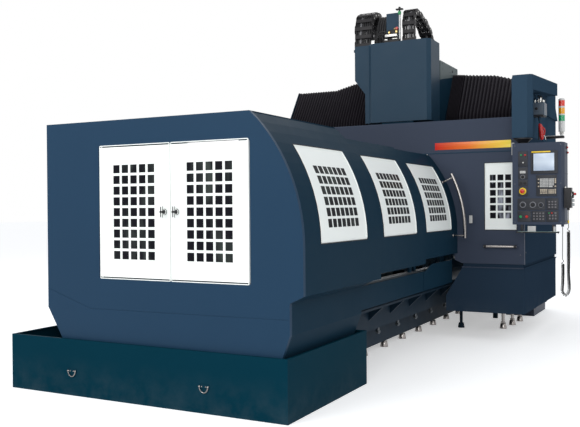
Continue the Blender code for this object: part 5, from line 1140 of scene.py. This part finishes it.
def pendant_keys():
    """The keypad: pale keys in two blocks, sand-coloured ones round them, and the small key fields below."""
    lower = [
        (0.049, 0.140, 0.312, 0.254), (0.318, 0.140, 0.431, 0.254),
        (0.048, 0.026, 0.176, 0.132), (0.182, 0.026, 0.312, 0.132), (0.318, 0.026, 0.431, 0.132),
    ]
    left = [(0.560, 0.709), (0.440, 0.555), (0.372, 0.435), (0.274, 0.367)]
    plates = [pendant_face(0.227, 0.275, 0.416, 0.476, 0.003, 0.0015, PANEL_BASE)]
    plates += [pendant_face(*row, PLATE_BASE, 0.003) for row in lower]
    plates += [pendant_face(0.058, z0, 0.147, z1, 0.003, 0.0025, PANEL_BASE) for z0, z1 in left]
    piece("pendant_plates", plates, PANEL_GREY, "pendant")
    pale = [key_field(0.262, 0.360, 0.336, 0.443, 6, 6), key_field(0.341, 0.375, 0.391, 0.442, 4, 5)]
    pale.append(pendant_face(0.341, 0.359, 0.378, 0.372, 0.004, 0.001, PANEL_BASE))
    piece("pendant_pale_keys", pale, KEY_WHITE, "pendant")
    sand = [(0.242, z, 0.256, z + 0.012, 1, 1) for z in (0.430, 0.396, 0.362)]
    sand += [
        (0.397, 0.396, 0.411, 0.442, 1, 3), (0.397, 0.360, 0.411, 0.374, 1, 1),
        (0.262, 0.316, 0.330, 0.342, 4, 2), (0.262, 0.297, 0.330, 0.309, 3, 1),
        (0.340, 0.297, 0.390, 0.338, 4, 3), (0.396, 0.297, 0.409, 0.342, 1, 3),
    ]
    piece("pendant_sand_keys", [key_field(*row) for row in sand], KEY_SAND, "pendant")
    spots = ((0.242, 0.413), (0.242, 0.379), (0.397, 0.379))
    dark = [key_field(x, z, x + 0.014, z + 0.012, 1, 1) for x, z in spots]
    piece("pendant_dark_keys", dark, BLACK_PLASTIC, "pendant")
    small = [
        (0.338, 0.160, 0.412, 0.226, 3, 3, 0.012, 0.004), (0.196, 0.046, 0.298, 0.116, 4, 3, 0.014, 0.003),
        (0.344, 0.050, 0.412, 0.096, 3, 2, 0.012, 0.004), (0.394, 0.104, 0.412, 0.118, 1, 1, 0.012, 0.004),
    ]
    piece("pendant_small_keys", [key_field(*row, PLATE_BASE) for row in small], KEY_GREY, "pendant")


def pendant_buttons():
    """Coloured push buttons with collars, the rotary switches, and the emergency stop on its yellow disc."""

    def trio(upper, plate, small):
        """A pair's three buttons, from their places across: on the panel, the plate and the small plate."""
        return [
            (upper, 0.673, 0.011, 0.010, UPPER_BASE),
            (plate, 0.076, 0.014, 0.014, PLATE_BASE),
            (small, 0.111, 0.009, 0.007, PLATE_BASE),
        ]

    black = [(0.083, 0.404, 0.012, 0.010, UPPER_BASE), (0.121, 0.403, 0.012, 0.010, UPPER_BASE)]
    collars = []
    for name, finish, buttons in (
        ("green", GREEN_PLASTIC, trio(0.086, 0.078, 0.344)),
        ("red", RED_PLASTIC, trio(0.124, 0.136, 0.371)),
        ("pale", KEY_WHITE, [(0.105, 0.600, 0.010, 0.008, UPPER_BASE)]),
        ("black", BLACK_PLASTIC, black),
    ):
        piece("pendant_" + name + "_buttons", [dial(*button) for button in buttons], finish, "pendant")
        collars += [dial(x, z, radius + 0.003, 0.004, base, 24) for x, z, radius, _, base in buttons]
    piece("pendant_collars", collars, BLACK_PLASTIC, "pendant")
    switch = pendant_face(0.074, 0.495, 0.128, 0.521, 0.008, 0.003, UPPER_BASE)
    piece("pendant_white_switch", switch, KEY_WHITE, "pendant")
    rings, knobs = [], []
    for x, z, ring, radius, height, angle, base, around in (
        (0.100, 0.193, 0.030, 0.021, 0.024, 0.6, PLATE_BASE, 24),
        (0.194, 0.192, 0.030, 0.021, 0.026, 2.2, PLATE_BASE, 24),
        (0.270, 0.189, 0.025, 0.020, 0.024, 2.6, PLATE_BASE, 24),
        (0.100, 0.462, 0.022, 0.016, 0.018, 0.8, UPPER_BASE, 20),
    ):
        rings.append(dial(x, z, ring, 0.003, base, 28))
        knobs += [dial(x, z, radius, height, base, around), pointer(x, z, radius, height + base, angle)]
    piece("pendant_scale_rings", rings, RING_GREY, "pendant")
    piece("pendant_switches", knobs, BLACK_PLASTIC, "pendant")
    x, z = 0.099, 0.324
    piece("stop_disc", dial(x, z, 0.034, 0.004, UPPER_BASE, 32), YELLOW_PLASTIC, "pendant")
    mushroom = [(0.012, 0.008), (0.012, 0.022), (0.021, 0.024), (0.0225, 0.029), (0.021, 0.035)]
    mushroom.append((0.013, 0.0385))
    piece("stop_button", lathe(mushroom, "-y", on_face(x, z), 28), RED_PLASTIC, "pendant")


def pendant_trim():
    """Face screws, the two side buttons, the shelf's hooks, glass edge and cards, and the swivel's rings."""
    spots = [on_face(x, z) for x in (0.024, 0.452) for z in (0.024, 0.395, 0.766)]
    sides = [(PENDANT_RIGHT, y, z) for y in (2.84, 2.95) for z in (1.24, 1.70)]
    heads = screws(spots, "-y", 0.0055, 0.0035) + screws(sides, "x", 0.0055, 0.0035)
    piece("pendant_screws", heads, DARK_STEEL, "pendant")
    spots = [(PENDANT_RIGHT, 2.897, 1.954), (PENDANT_RIGHT, 2.930, 1.906)]
    for name, profile, finish, around in (
        ("buttons", [(0.009, 0), (0.009, 0.014), (0.006, 0.017)], RED_PLASTIC, 18),
        ("collars", [(0.015, 0), (0.015, 0.005), (0.011, 0.007)], BLACK_PLASTIC, 20),
    ):
        pair = [lathe(profile, "x", spot, around) for spot in spots]
        piece("pendant_side_" + name, pair, finish, "pendant")
    low, high = PENDANT_LOW - 0.0795, PENDANT_LOW - 0.066
    glass = rounded_box((PENDANT_LEFT + 0.052, 2.698, low), (PENDANT_LEFT + 0.426, 2.842, high))
    piece("shelf_glass", glass, SHELF_GLASS, "pendant")
    ends = [(PENDANT_LEFT + x, 2.697, low + 0.006) for x in (0.046, 0.432)]
    knobs = [lathe([(0.008, -0.004), (0.011, 0), (0.008, 0.006)], "x", end, 14) for end in ends]
    starts = [PENDANT_LEFT + x for x in (0.078, 0.372)]
    hooks = [rounded_box((x, 2.712, low), (x + 0.020, 2.732, PENDANT_LOW), 0.003) for x in starts]
    piece("shelf_rail", [tube(ends, 0.0055), *knobs, *hooks], BLACK_PLASTIC, "pendant")
    cards = [
        rounded_box(
            (PENDANT_LEFT + x0, 2.706, high), (PENDANT_LEFT + x1, 2.709, PENDANT_LOW - drop), 0.0006, "y"
        )
        for x0, x1, drop in ((0.146, 0.222, 0.014), (0.386, 0.406, 0.018))
    ]
    piece("shelf_cards", cards, KEY_WHITE, "pendant")
    low_corner, high_corner = corners("pendant_swivel")
    x, y = (low_corner[:2] + high_corner[:2]) / 2
    ring = collar(0.083, 0.0865, 2.046, 2.061, 0.003, "z", (x, y, 0), 40)
    piece("swivel_ring", ring, BLACK_PLASTIC, "pendant")


def hand_wheel():
    """The hand wheel's turned dial with its crank, the clear switch knobs and the body's grip ribs."""
    low, high = corners("handwheel")
    side, bottom = PENDANT_RIGHT + 0.0623, 1.368
    y = (low[1] + high[1]) / 2
    hub = (side, y, bottom + 0.126)
    wheel = [(0.0305, 0), (0.0325, 0.002), (0.0325, 0.013), (0.029, 0.0165), (0.012, 0.0175), (0.010, 0.021)]
    piece("handwheel_dial", lathe(wheel, "x", hub, 36), BLACK_PLASTIC, "pendant")
    marks = collar(0.0330, 0.0334, 0.0028, 0.0062, 0.0002, "x", hub, 36)
    piece("handwheel_scale", marks, ALUMINIUM, "pendant")
    crank = [(0.006, 0.016), (0.0105, 0.020), (0.0115, 0.032), (0.0105, 0.0390), (0.005, 0.0398)]
    piece("handwheel_crank", lathe(crank, "x", (side, y, bottom + 0.134), 18), RED_PLASTIC, "pendant")
    knob = [(0.0125, 0.0), (0.0135, 0.002), (0.0135, 0.020), (0.0115, 0.0245), (0.004, 0.0252)]
    knobs = [lathe(knob, "x", (side, y, bottom + z), 8) for z in (0.033, 0.072)]
    piece("handwheel_knobs", knobs, CLEAR_KNOB, "pendant")

    def block(start, end, half, low, high, edge, axis):
        """A block between two places right of the pendant, as wide as twice its half, above the bottom."""
        near = (PENDANT_RIGHT + start, y - half, bottom + low)
        return rounded_box(near, (end, y + half, bottom + high), edge, axis)

    shell = block(0.0008, side + 0.0004, 0.0458, 0.0004, 0.1946, 0.007, "z")
    rises = np.arange(0.030, 0.16, 0.016)
    ribs = [block(0.006, side - 0.006, 0.0465, rise, rise + 0.004, 0.0012, "y") for rise in rises]
    piece("handwheel_shell", [shell, *ribs], BLACK_PLASTIC, "pendant")
    hanger = block(0.0004, PENDANT_RIGHT + 0.012, 0.020, 0.150, 0.205, 0.003, "x")
    piece("handwheel_hanger", hanger, ZINC, "pendant")


def head_fittings():
    """What stands on the head: a white tube with a green cap, valves, couplings and their hoses."""
    top, y, lift, tube_x = 3.236, 3.466, 0.062, 0.222
    step, above = top + lift, 2 * lift
    mast = tube([(tube_x, y, z) for z in (top, 3.40, 3.585)], 0.008, (0, 1, 0), 14)
    piece("head_white_tube", mast, LAMP_WHITE, "carriage")
    cap = [(0.010, 3.583), (0.018, 3.590), (0.018, 3.622), (0.012, 3.628)]
    piece("head_green_cap", lathe(cap, "z", (tube_x, y, 0), 18), GREEN_PLASTIC, "carriage")
    flange = [
        rounded_box((0.180, y - 0.020, 3.640), (0.262, y + 0.024, 3.654), 0.003),
        lathe([(0.010, 3.628), (0.010, 3.640)], "z", (tube_x, y, 0), 12),
        lathe([(0.014, 3.654), (0.014, 3.668), (0.009, 3.674)], "z", (tube_x, y, 0), 14),
    ]
    piece("head_flange", flange, BLACK_PLASTIC, "carriage")
    red = [(0.014, 0), (0.016, 0.004), (0.016, 0.022), (0.011, 0.026)]
    piece("head_red_valve", lathe(red, "-y", (0.196, y - 0.006, 3.430), 16), RED_PLASTIC, "carriage")
    wide = [(0.010, 3.245), (0.014, 3.25), (0.014, 3.275), (0.009, 3.285)]
    slim = [(0.010, 3.245), (0.013, 3.25), (0.013, 3.268), (0.009, 3.276)]
    brass = [
        lathe([(0.011, 0), (0.011, 0.020), (0.008, 0.026)], "-x", (0.180, y, 3.430), 6),
        lathe(wide, "z", (0.196, y - 0.034, above), 6),
        lathe(slim, "z", (0.110, y - 0.036, above), 6),
    ]
    piece("head_brass_fittings", brass, BRASS, "carriage")
    manifold = [
        rounded_box((0.060, y - 0.050, step + 0.034), (0.205, y - 0.020, step + 0.068), 0.004, "x"),
        rounded_box((0.052, y - 0.044, step), (0.090, y - 0.014, step + 0.016), 0.004),
        rounded_box((-0.120, y - 0.030, top), (-0.075, y + 0.006, step + 0.022), 0.004),
        lathe([(0.012, 0), (0.012, 0.05), (0.008, 0.056)], "x", (0.150, y - 0.034, step + 0.012), 12),
    ]
    piece("head_manifold", manifold, ZINC, "carriage")
    base = rounded_box((0.040, y - 0.040, top), (0.230, y + 0.020, step + 0.008), 0.003)
    valve = rounded_box((0.085, y - 0.004, step), (0.180, y + 0.026, step + 0.125), 0.005)
    piece("head_valve_block", [base, valve], BLACK_PLASTIC, "carriage")
    arch = np.array([
        (0, 3.585, top), (0, 3.575, top + 0.16), (0.004, 3.600, top + 0.30), (0.006, 3.680, top + 0.385),
        (0.006, 3.790, top + 0.33), (0.004, 3.840, top + 0.12), (0, 3.850, 3.052),
    ])
    starts = (-0.088, -0.059, -0.030, -0.001, 0.028)
    hoses = [tube(curve_through(arch + (x, 0, 0), 44), 0.0145, (1, 0, 0)) for x in starts]
    for x, reach, high in ((0.010, -0.115, 0.110), (0.035, -0.135, 0.135), (0.060, -0.160, 0.160)):
        peak, end = (x + reach * 0.6, y + 0.01, top + high), (x + reach, y + 0.02, top + 0.02)
        way = [(x + 0.03, y - 0.01, top + 0.03), (x, y, top + high), peak, end]
        hoses.append(tube(curve_through(way, 28), 0.007, (0, 1, 0)))
    piece("head_hoses", hoses, HOSE_RUBBER, "carriage")


def head_trim():
    """Cover screws on the head's side, the shroud round the ram, and the drive housing's screws and port."""
    low, high = corners("head_cover")
    spots = [(high[0], 3.54, z) for z in (2.40, 2.80, 3.19)]
    piece("head_screws", screws(spots, "x", 0.006, 0.003), DARK_STEEL, "carriage")
    ram_low, ram_high = corners("ram")
    (left, front), (right, back) = ram_low[:2] - 0.004, ram_high[:2] + 0.004
    shroud = rounded_box((left, front, 2.130), (right, back, low[2] - 0.0006), 0.003)
    piece("ram_shroud", shroud, DEEP_PAINT, "carriage")
    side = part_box("drive_housing")[1][0]
    spots = [(side, y, z) for y in (3.70, 4.00, 4.26) for z in (2.965, 3.025)]
    piece("housing_screws", screws(spots, "x", 0.006, 0.004), DARK_STEEL, "carriage")
    port = lathe([(0.014, 0), (0.014, 0.004), (0.009, 0.0045)], "x", (side, 4.10, 2.99), 16)
    piece("housing_port", port, BLACK_PLASTIC, "carriage")


def side_length(height):
    """Distance up the guard's skin for a height: the height itself, or along the arc above its centre."""
    if height <= ARC_HEIGHT:
        return height
    return ARC_HEIGHT + ARC_RADIUS * math.asin((height - ARC_HEIGHT) / ARC_RADIUS)


def door_handle():
    """The operator door's bar handle: a long grip off the curved skin on two stands with turned roots."""
    inset = 2 * SECTION_NEST
    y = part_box("operator_door")[1][1] - 0.150
    heights = np.linspace(side_length(1.066) - 0.0006, side_length(1.689) + 0.0006, 30)
    parts = [tube(side_skin(np.full(30, y), heights, -0.085), 0.0150, (0, 1, 0), 18)]
    for height in (1.090, 1.657):
        s = side_length(height)
        stand = side_skin(np.full(4, y), np.full(4, s), np.linspace(inset - 0.0005, -0.080, 4))
        root = side_skin(np.full(3, y), np.full(3, s), inset - np.array([0.0004, 0.004, 0.006]))
        parts.append(tube(stand, 0.0078, (0, 1, 0), 12))
        parts.append(tube(root, np.array([0.017, 0.016, 0.009]), (0, 1, 0), 18))
    piece("door_handle", parts, HANDLE_STEEL, "operator_section")


def leaf_latches():
    """The black T-handles in the middle of the two leaves, with bright ends."""
    stem = [(0.0215, 0.0004), (0.0215, 0.003), (0.0130, 0.014), (0.0125, 0.034), (0.010, 0.0446)]
    for hand, x in (("left", -0.052), ("right", 0.052)):
        name, body = f"{hand}_latch", f"front_{hand}_leaf"
        bar = rounded_box((x - 0.0094, -0.6674, 1.3276), (x + 0.0094, -0.6505, 1.4124), 0.004)
        post = lathe(stem, "-y", (x, DOOR_FACE, 1.370))
        piece(name, [post, bar], BLACK_PLASTIC, body)
        rises, near, far = (1.3272, 1.4056), (x - 0.0100, -0.6680), (x + 0.0100, -0.6500)
        ends = [rounded_box((*near, z), (*far, z + 0.007)) for z in rises]
        piece(name + "_ends", ends, ALUMINIUM, body)


def tank_pulls():
    """The coolant tank's two drop pulls: a plate, a half-round bow with its ears, and two bolts each."""
    pulls, plates = [], []
    for x in (-0.884, 0.298):
        plates.append(rounded_box((x - 0.0424, -0.6694, 0.1716), (x + 0.0424, -0.6636, 0.1984), 0.0016, "y"))
        angles = np.linspace(0.02, -math.pi - 0.02, 26)
        across, rise = x + 0.034 * np.cos(angles), 0.185 + 0.0408 * np.sin(angles)
        bow = np.stack([across, np.full(26, -0.672), rise], -1)
        pulls.append(tube(bow, 0.0048, (0, 1, 0), 12))
        for ear in (x - 0.034, x + 0.034):
            pulls.append(collar(0.0052, 0.0060, -0.007, 0.007, 0.002, "x", (ear, -0.6707, 0.186), 16))
        pulls += screws([(x - 0.016, -0.6690, 0.185), (x + 0.016, -0.6690, 0.185)], "-y", 0.0045, 0.003)
    piece("tank_pull_plates", plates, TANK_PAINT)
    piece("tank_pulls", pulls, HANDLE_STEEL)


def levelling_feet():
    """The bed's and the columns' levelling feet with their nuts, and the jack studs beside the bed."""

    def foot(top):
        steps = [(0.0404, 0.0), (0.0404, 0.006), (0.0310, 0.0535), (0.0304, 0.0552), (0.0184, 0.0584)]
        return lathe([*steps, (0.0184, top)], "z", (0, 0, 0), 28)

    def nut(inner, start, end, ease):
        return collar(inner, inner + 0.0015, start, end, ease, "z", (0, 0, 0), 6)

    def both_sides(places):
        return [(side * x, y, 0) for side in (-1, 1) for x, y in places]

    low_nut = nut(0.0270, 0.0600, 0.0760, 0.0015)
    steps = 1.205 + 0.531 * np.arange(9)
    spots = both_sides([(0.470, y) for y in steps])
    piece("bed_feet", repeated(foot(0.0875), spots), HANDLE_STEEL)
    piece("bed_foot_nuts", repeated(low_nut, spots), ZINC)
    tall = joined(foot(0.2996), low_nut, nut(0.0270, 0.268, 0.284, 0.0015))
    spots = both_sides([(1.271, 3.933), (1.307, 4.242), (1.323, 4.590)])
    piece("column_feet", repeated(tall, spots), HANDLE_STEEL)
    stud = lathe([(0.0150, 0.216), (0.0150, 0.296), (0.0130, 0.2992)], "z", (0, 0, 0), 14)
    spots = both_sides([(0.615, y) for y in steps])
    piece("jack_studs", repeated(joined(stud, nut(0.0235, 0.226, 0.246, 0.002)), spots), DARK_STEEL)


def cabin_bar():
    """The steel bar under the cabin with a black collar near each end."""
    y, z = 2.999, 0.978
    piece("cabin_bar", tube([(x, y, z) for x in (1.285, 1.45, 1.620)], 0.0126, (0, 0, 1), 18), HANDLE_STEEL)
    ends = [collar(0.0126, 0.0155, -0.014, 0.014, 0.003, "x", (x, y, z), 18) for x in (1.300, 1.605)]
    piece("cabin_bar_ends", ends, BLACK_PLASTIC)


def cover_lips():
    """Rolled beads on the edges that catch the light: under the beam cover and along the skirt's lip."""
    (left, front, low), (right, _, _) = corners("beam_cover")
    under = [(x, front + 0.001, low + 0.003) for x in (left + 0.010, right - 0.010)]
    piece("beam_cover_lip", tube(straight(under, 12), 0.0055), HEAD_PAINT)
    (_, front, _), (right, _, _) = corners("right_cabin_skirt")
    rim = [(x, front + 0.0065, 0.755) for x in (1.045, right - 0.0065)]
    # The skirt lip's bead takes the cabin front's lighter copy over the skirt's shaded copy, so its pale
    # line is partly painted highlight.
    piece("skirt_lip", tube(straight(rim, 12), 0.0080), CABIN_PAINT)


def machine_screws():
    """Rows of cap screws along the covers' folds, where the sheets meet the castings behind them."""
    spots = []
    for name, side in (("right_cabin_front", 1), ("left_cabin_front", 0)):
        low, high = corners(name)
        x = high[0] - 0.030 if side else low[0] + 0.030
        spots += [(x, low[1], z) for z in np.linspace(low[2] + 0.10, high[2] - 0.10, 5)]
    piece("cabin_front_screws", screws(spots, "-y", 0.006, 0.003), DARK_STEEL)
    for hand, side, axis, height in (("right", 1, "x", 0.003), ("left", 0, "-x", 0.0002)):
        name = hand + "_cabin_side"
        low, high = ends = corners(name)
        heights = np.linspace(low[2] + 0.12, high[2] - 0.12, 4)
        spots = [(ends[side][0], y, z) for y in (low[1] + 0.035, high[1] - 0.035) for z in heights]
        piece(name + "_screws", screws(spots, axis, 0.007, height), DARK_STEEL)
    low, high = corners("guard_roof")
    across = np.linspace(low[0] + 0.06, high[0] - 0.06, 5)
    spots = [(x, y, high[2]) for x in across for y in (low[1] + 0.04, high[1] - 0.04)]
    piece("guard_roof_screws", screws(spots, "z", 0.007, 0.003), DARK_STEEL)
    low, high = corners("left_guard_wall")
    spots = [(low[0], y, high[2] - 0.06) for y in np.linspace(low[1] + 0.05, high[1] - 0.05, 5)]
    piece("left_wall_screws", screws(spots, "-x", 0.007, 0.003), DARK_STEEL)


def back_side():
    """The unseen back: the rear guard's seams and screws, the cabinet's door, handle, hinges and vents."""
    (left, _, low), (_, back, high) = corners("rear_guard")
    near, far = (back - 0.002, low + 0.46), (back + 0.0002, high - 0.004)
    across = left + np.array([0.55, 1.10, 1.65])
    strips = [rounded_box((x - 0.0035, *near), (x + 0.0035, *far), 0.0002) for x in across]
    piece("rear_guard_seams", strips, GASKET)
    across = left + np.array([0.03, 0.52, 0.58, 1.07, 1.13, 1.62, 1.68, 2.16])
    spots = [(x, back, z) for x in across for z in (0.56, 1.20, 1.84)]
    piece("rear_guard_screws", screws(spots, "y", 0.008, 0.0002), DARK_STEEL)
    (_, front, _), (right, back, top) = corners("electrical_cabinet")

    def block(start, near, low, end, far, high, *shape):
        """A block on the cabinet's right side, from its start and end out of that side."""
        return rounded_box((right + start, near, low), (right + end, far, high), *shape)

    door = block(-0.0006, front + 0.014, 0.116, 0.0045, back - 0.014, top - 0.014, 0.0015, "x", 0.006)
    piece("cabinet_door", door, CABIN_PAINT)
    plate = block(0.0045, front + 0.045, 0.98, 0.012, front + 0.085, 1.16, 0.003, "x")
    lever = block(0.016, front + 0.056, 0.995, 0.028, front + 0.074, 1.12, 0.004, "x")
    stem = lathe([(0.011, 0.0), (0.011, 0.020)], "x", (right + 0.010, front + 0.065, 1.108), 16)
    piece("cabinet_handle", [plate, lever, stem], BLACK_PLASTIC)
    pins = [(right + 0.006, back - 0.012, z) for z in (0.40, 0.98, 1.56)]
    hinges = [collar(0.008, 0.009, -0.045, 0.045, 0.001, "z", pin, 14) for pin in pins]
    piece("cabinet_hinges", hinges, ZINC)
    heights = np.concatenate([0.22 + 0.020 * np.arange(8), 1.58 + 0.020 * np.arange(8)])
    slats = [block(0.0040, front + 0.25, z, 0.010, back - 0.25, z + 0.010, 0.0024, "y") for z in heights]
    piece("cabinet_vents", slats, CABIN_PAINT)


bpy.context.scene.view_settings.view_transform = "Standard"
place_camera()
light_stage()
handwheel_cord()
dress_nodes()
side_windows()
front_doors()
cabin_window_panes()
cable_chain("left_cable_chain", LEFT_ARCH, -0.330, 0.220)
cable_chain("right_cable_chain", RIGHT_ARCH, 0.256, 0.148)
both_bellows()
colour_band()
signal_lamps()
lubricator()
air_gun()
pendant_screen()
pendant_keys()
pendant_buttons()
pendant_trim()
hand_wheel()
head_fittings()
head_trim()
door_handle()
leaf_latches()
tank_pulls()
levelling_feet()
cabin_bar()
machine_screws()
cover_lips()
back_side()
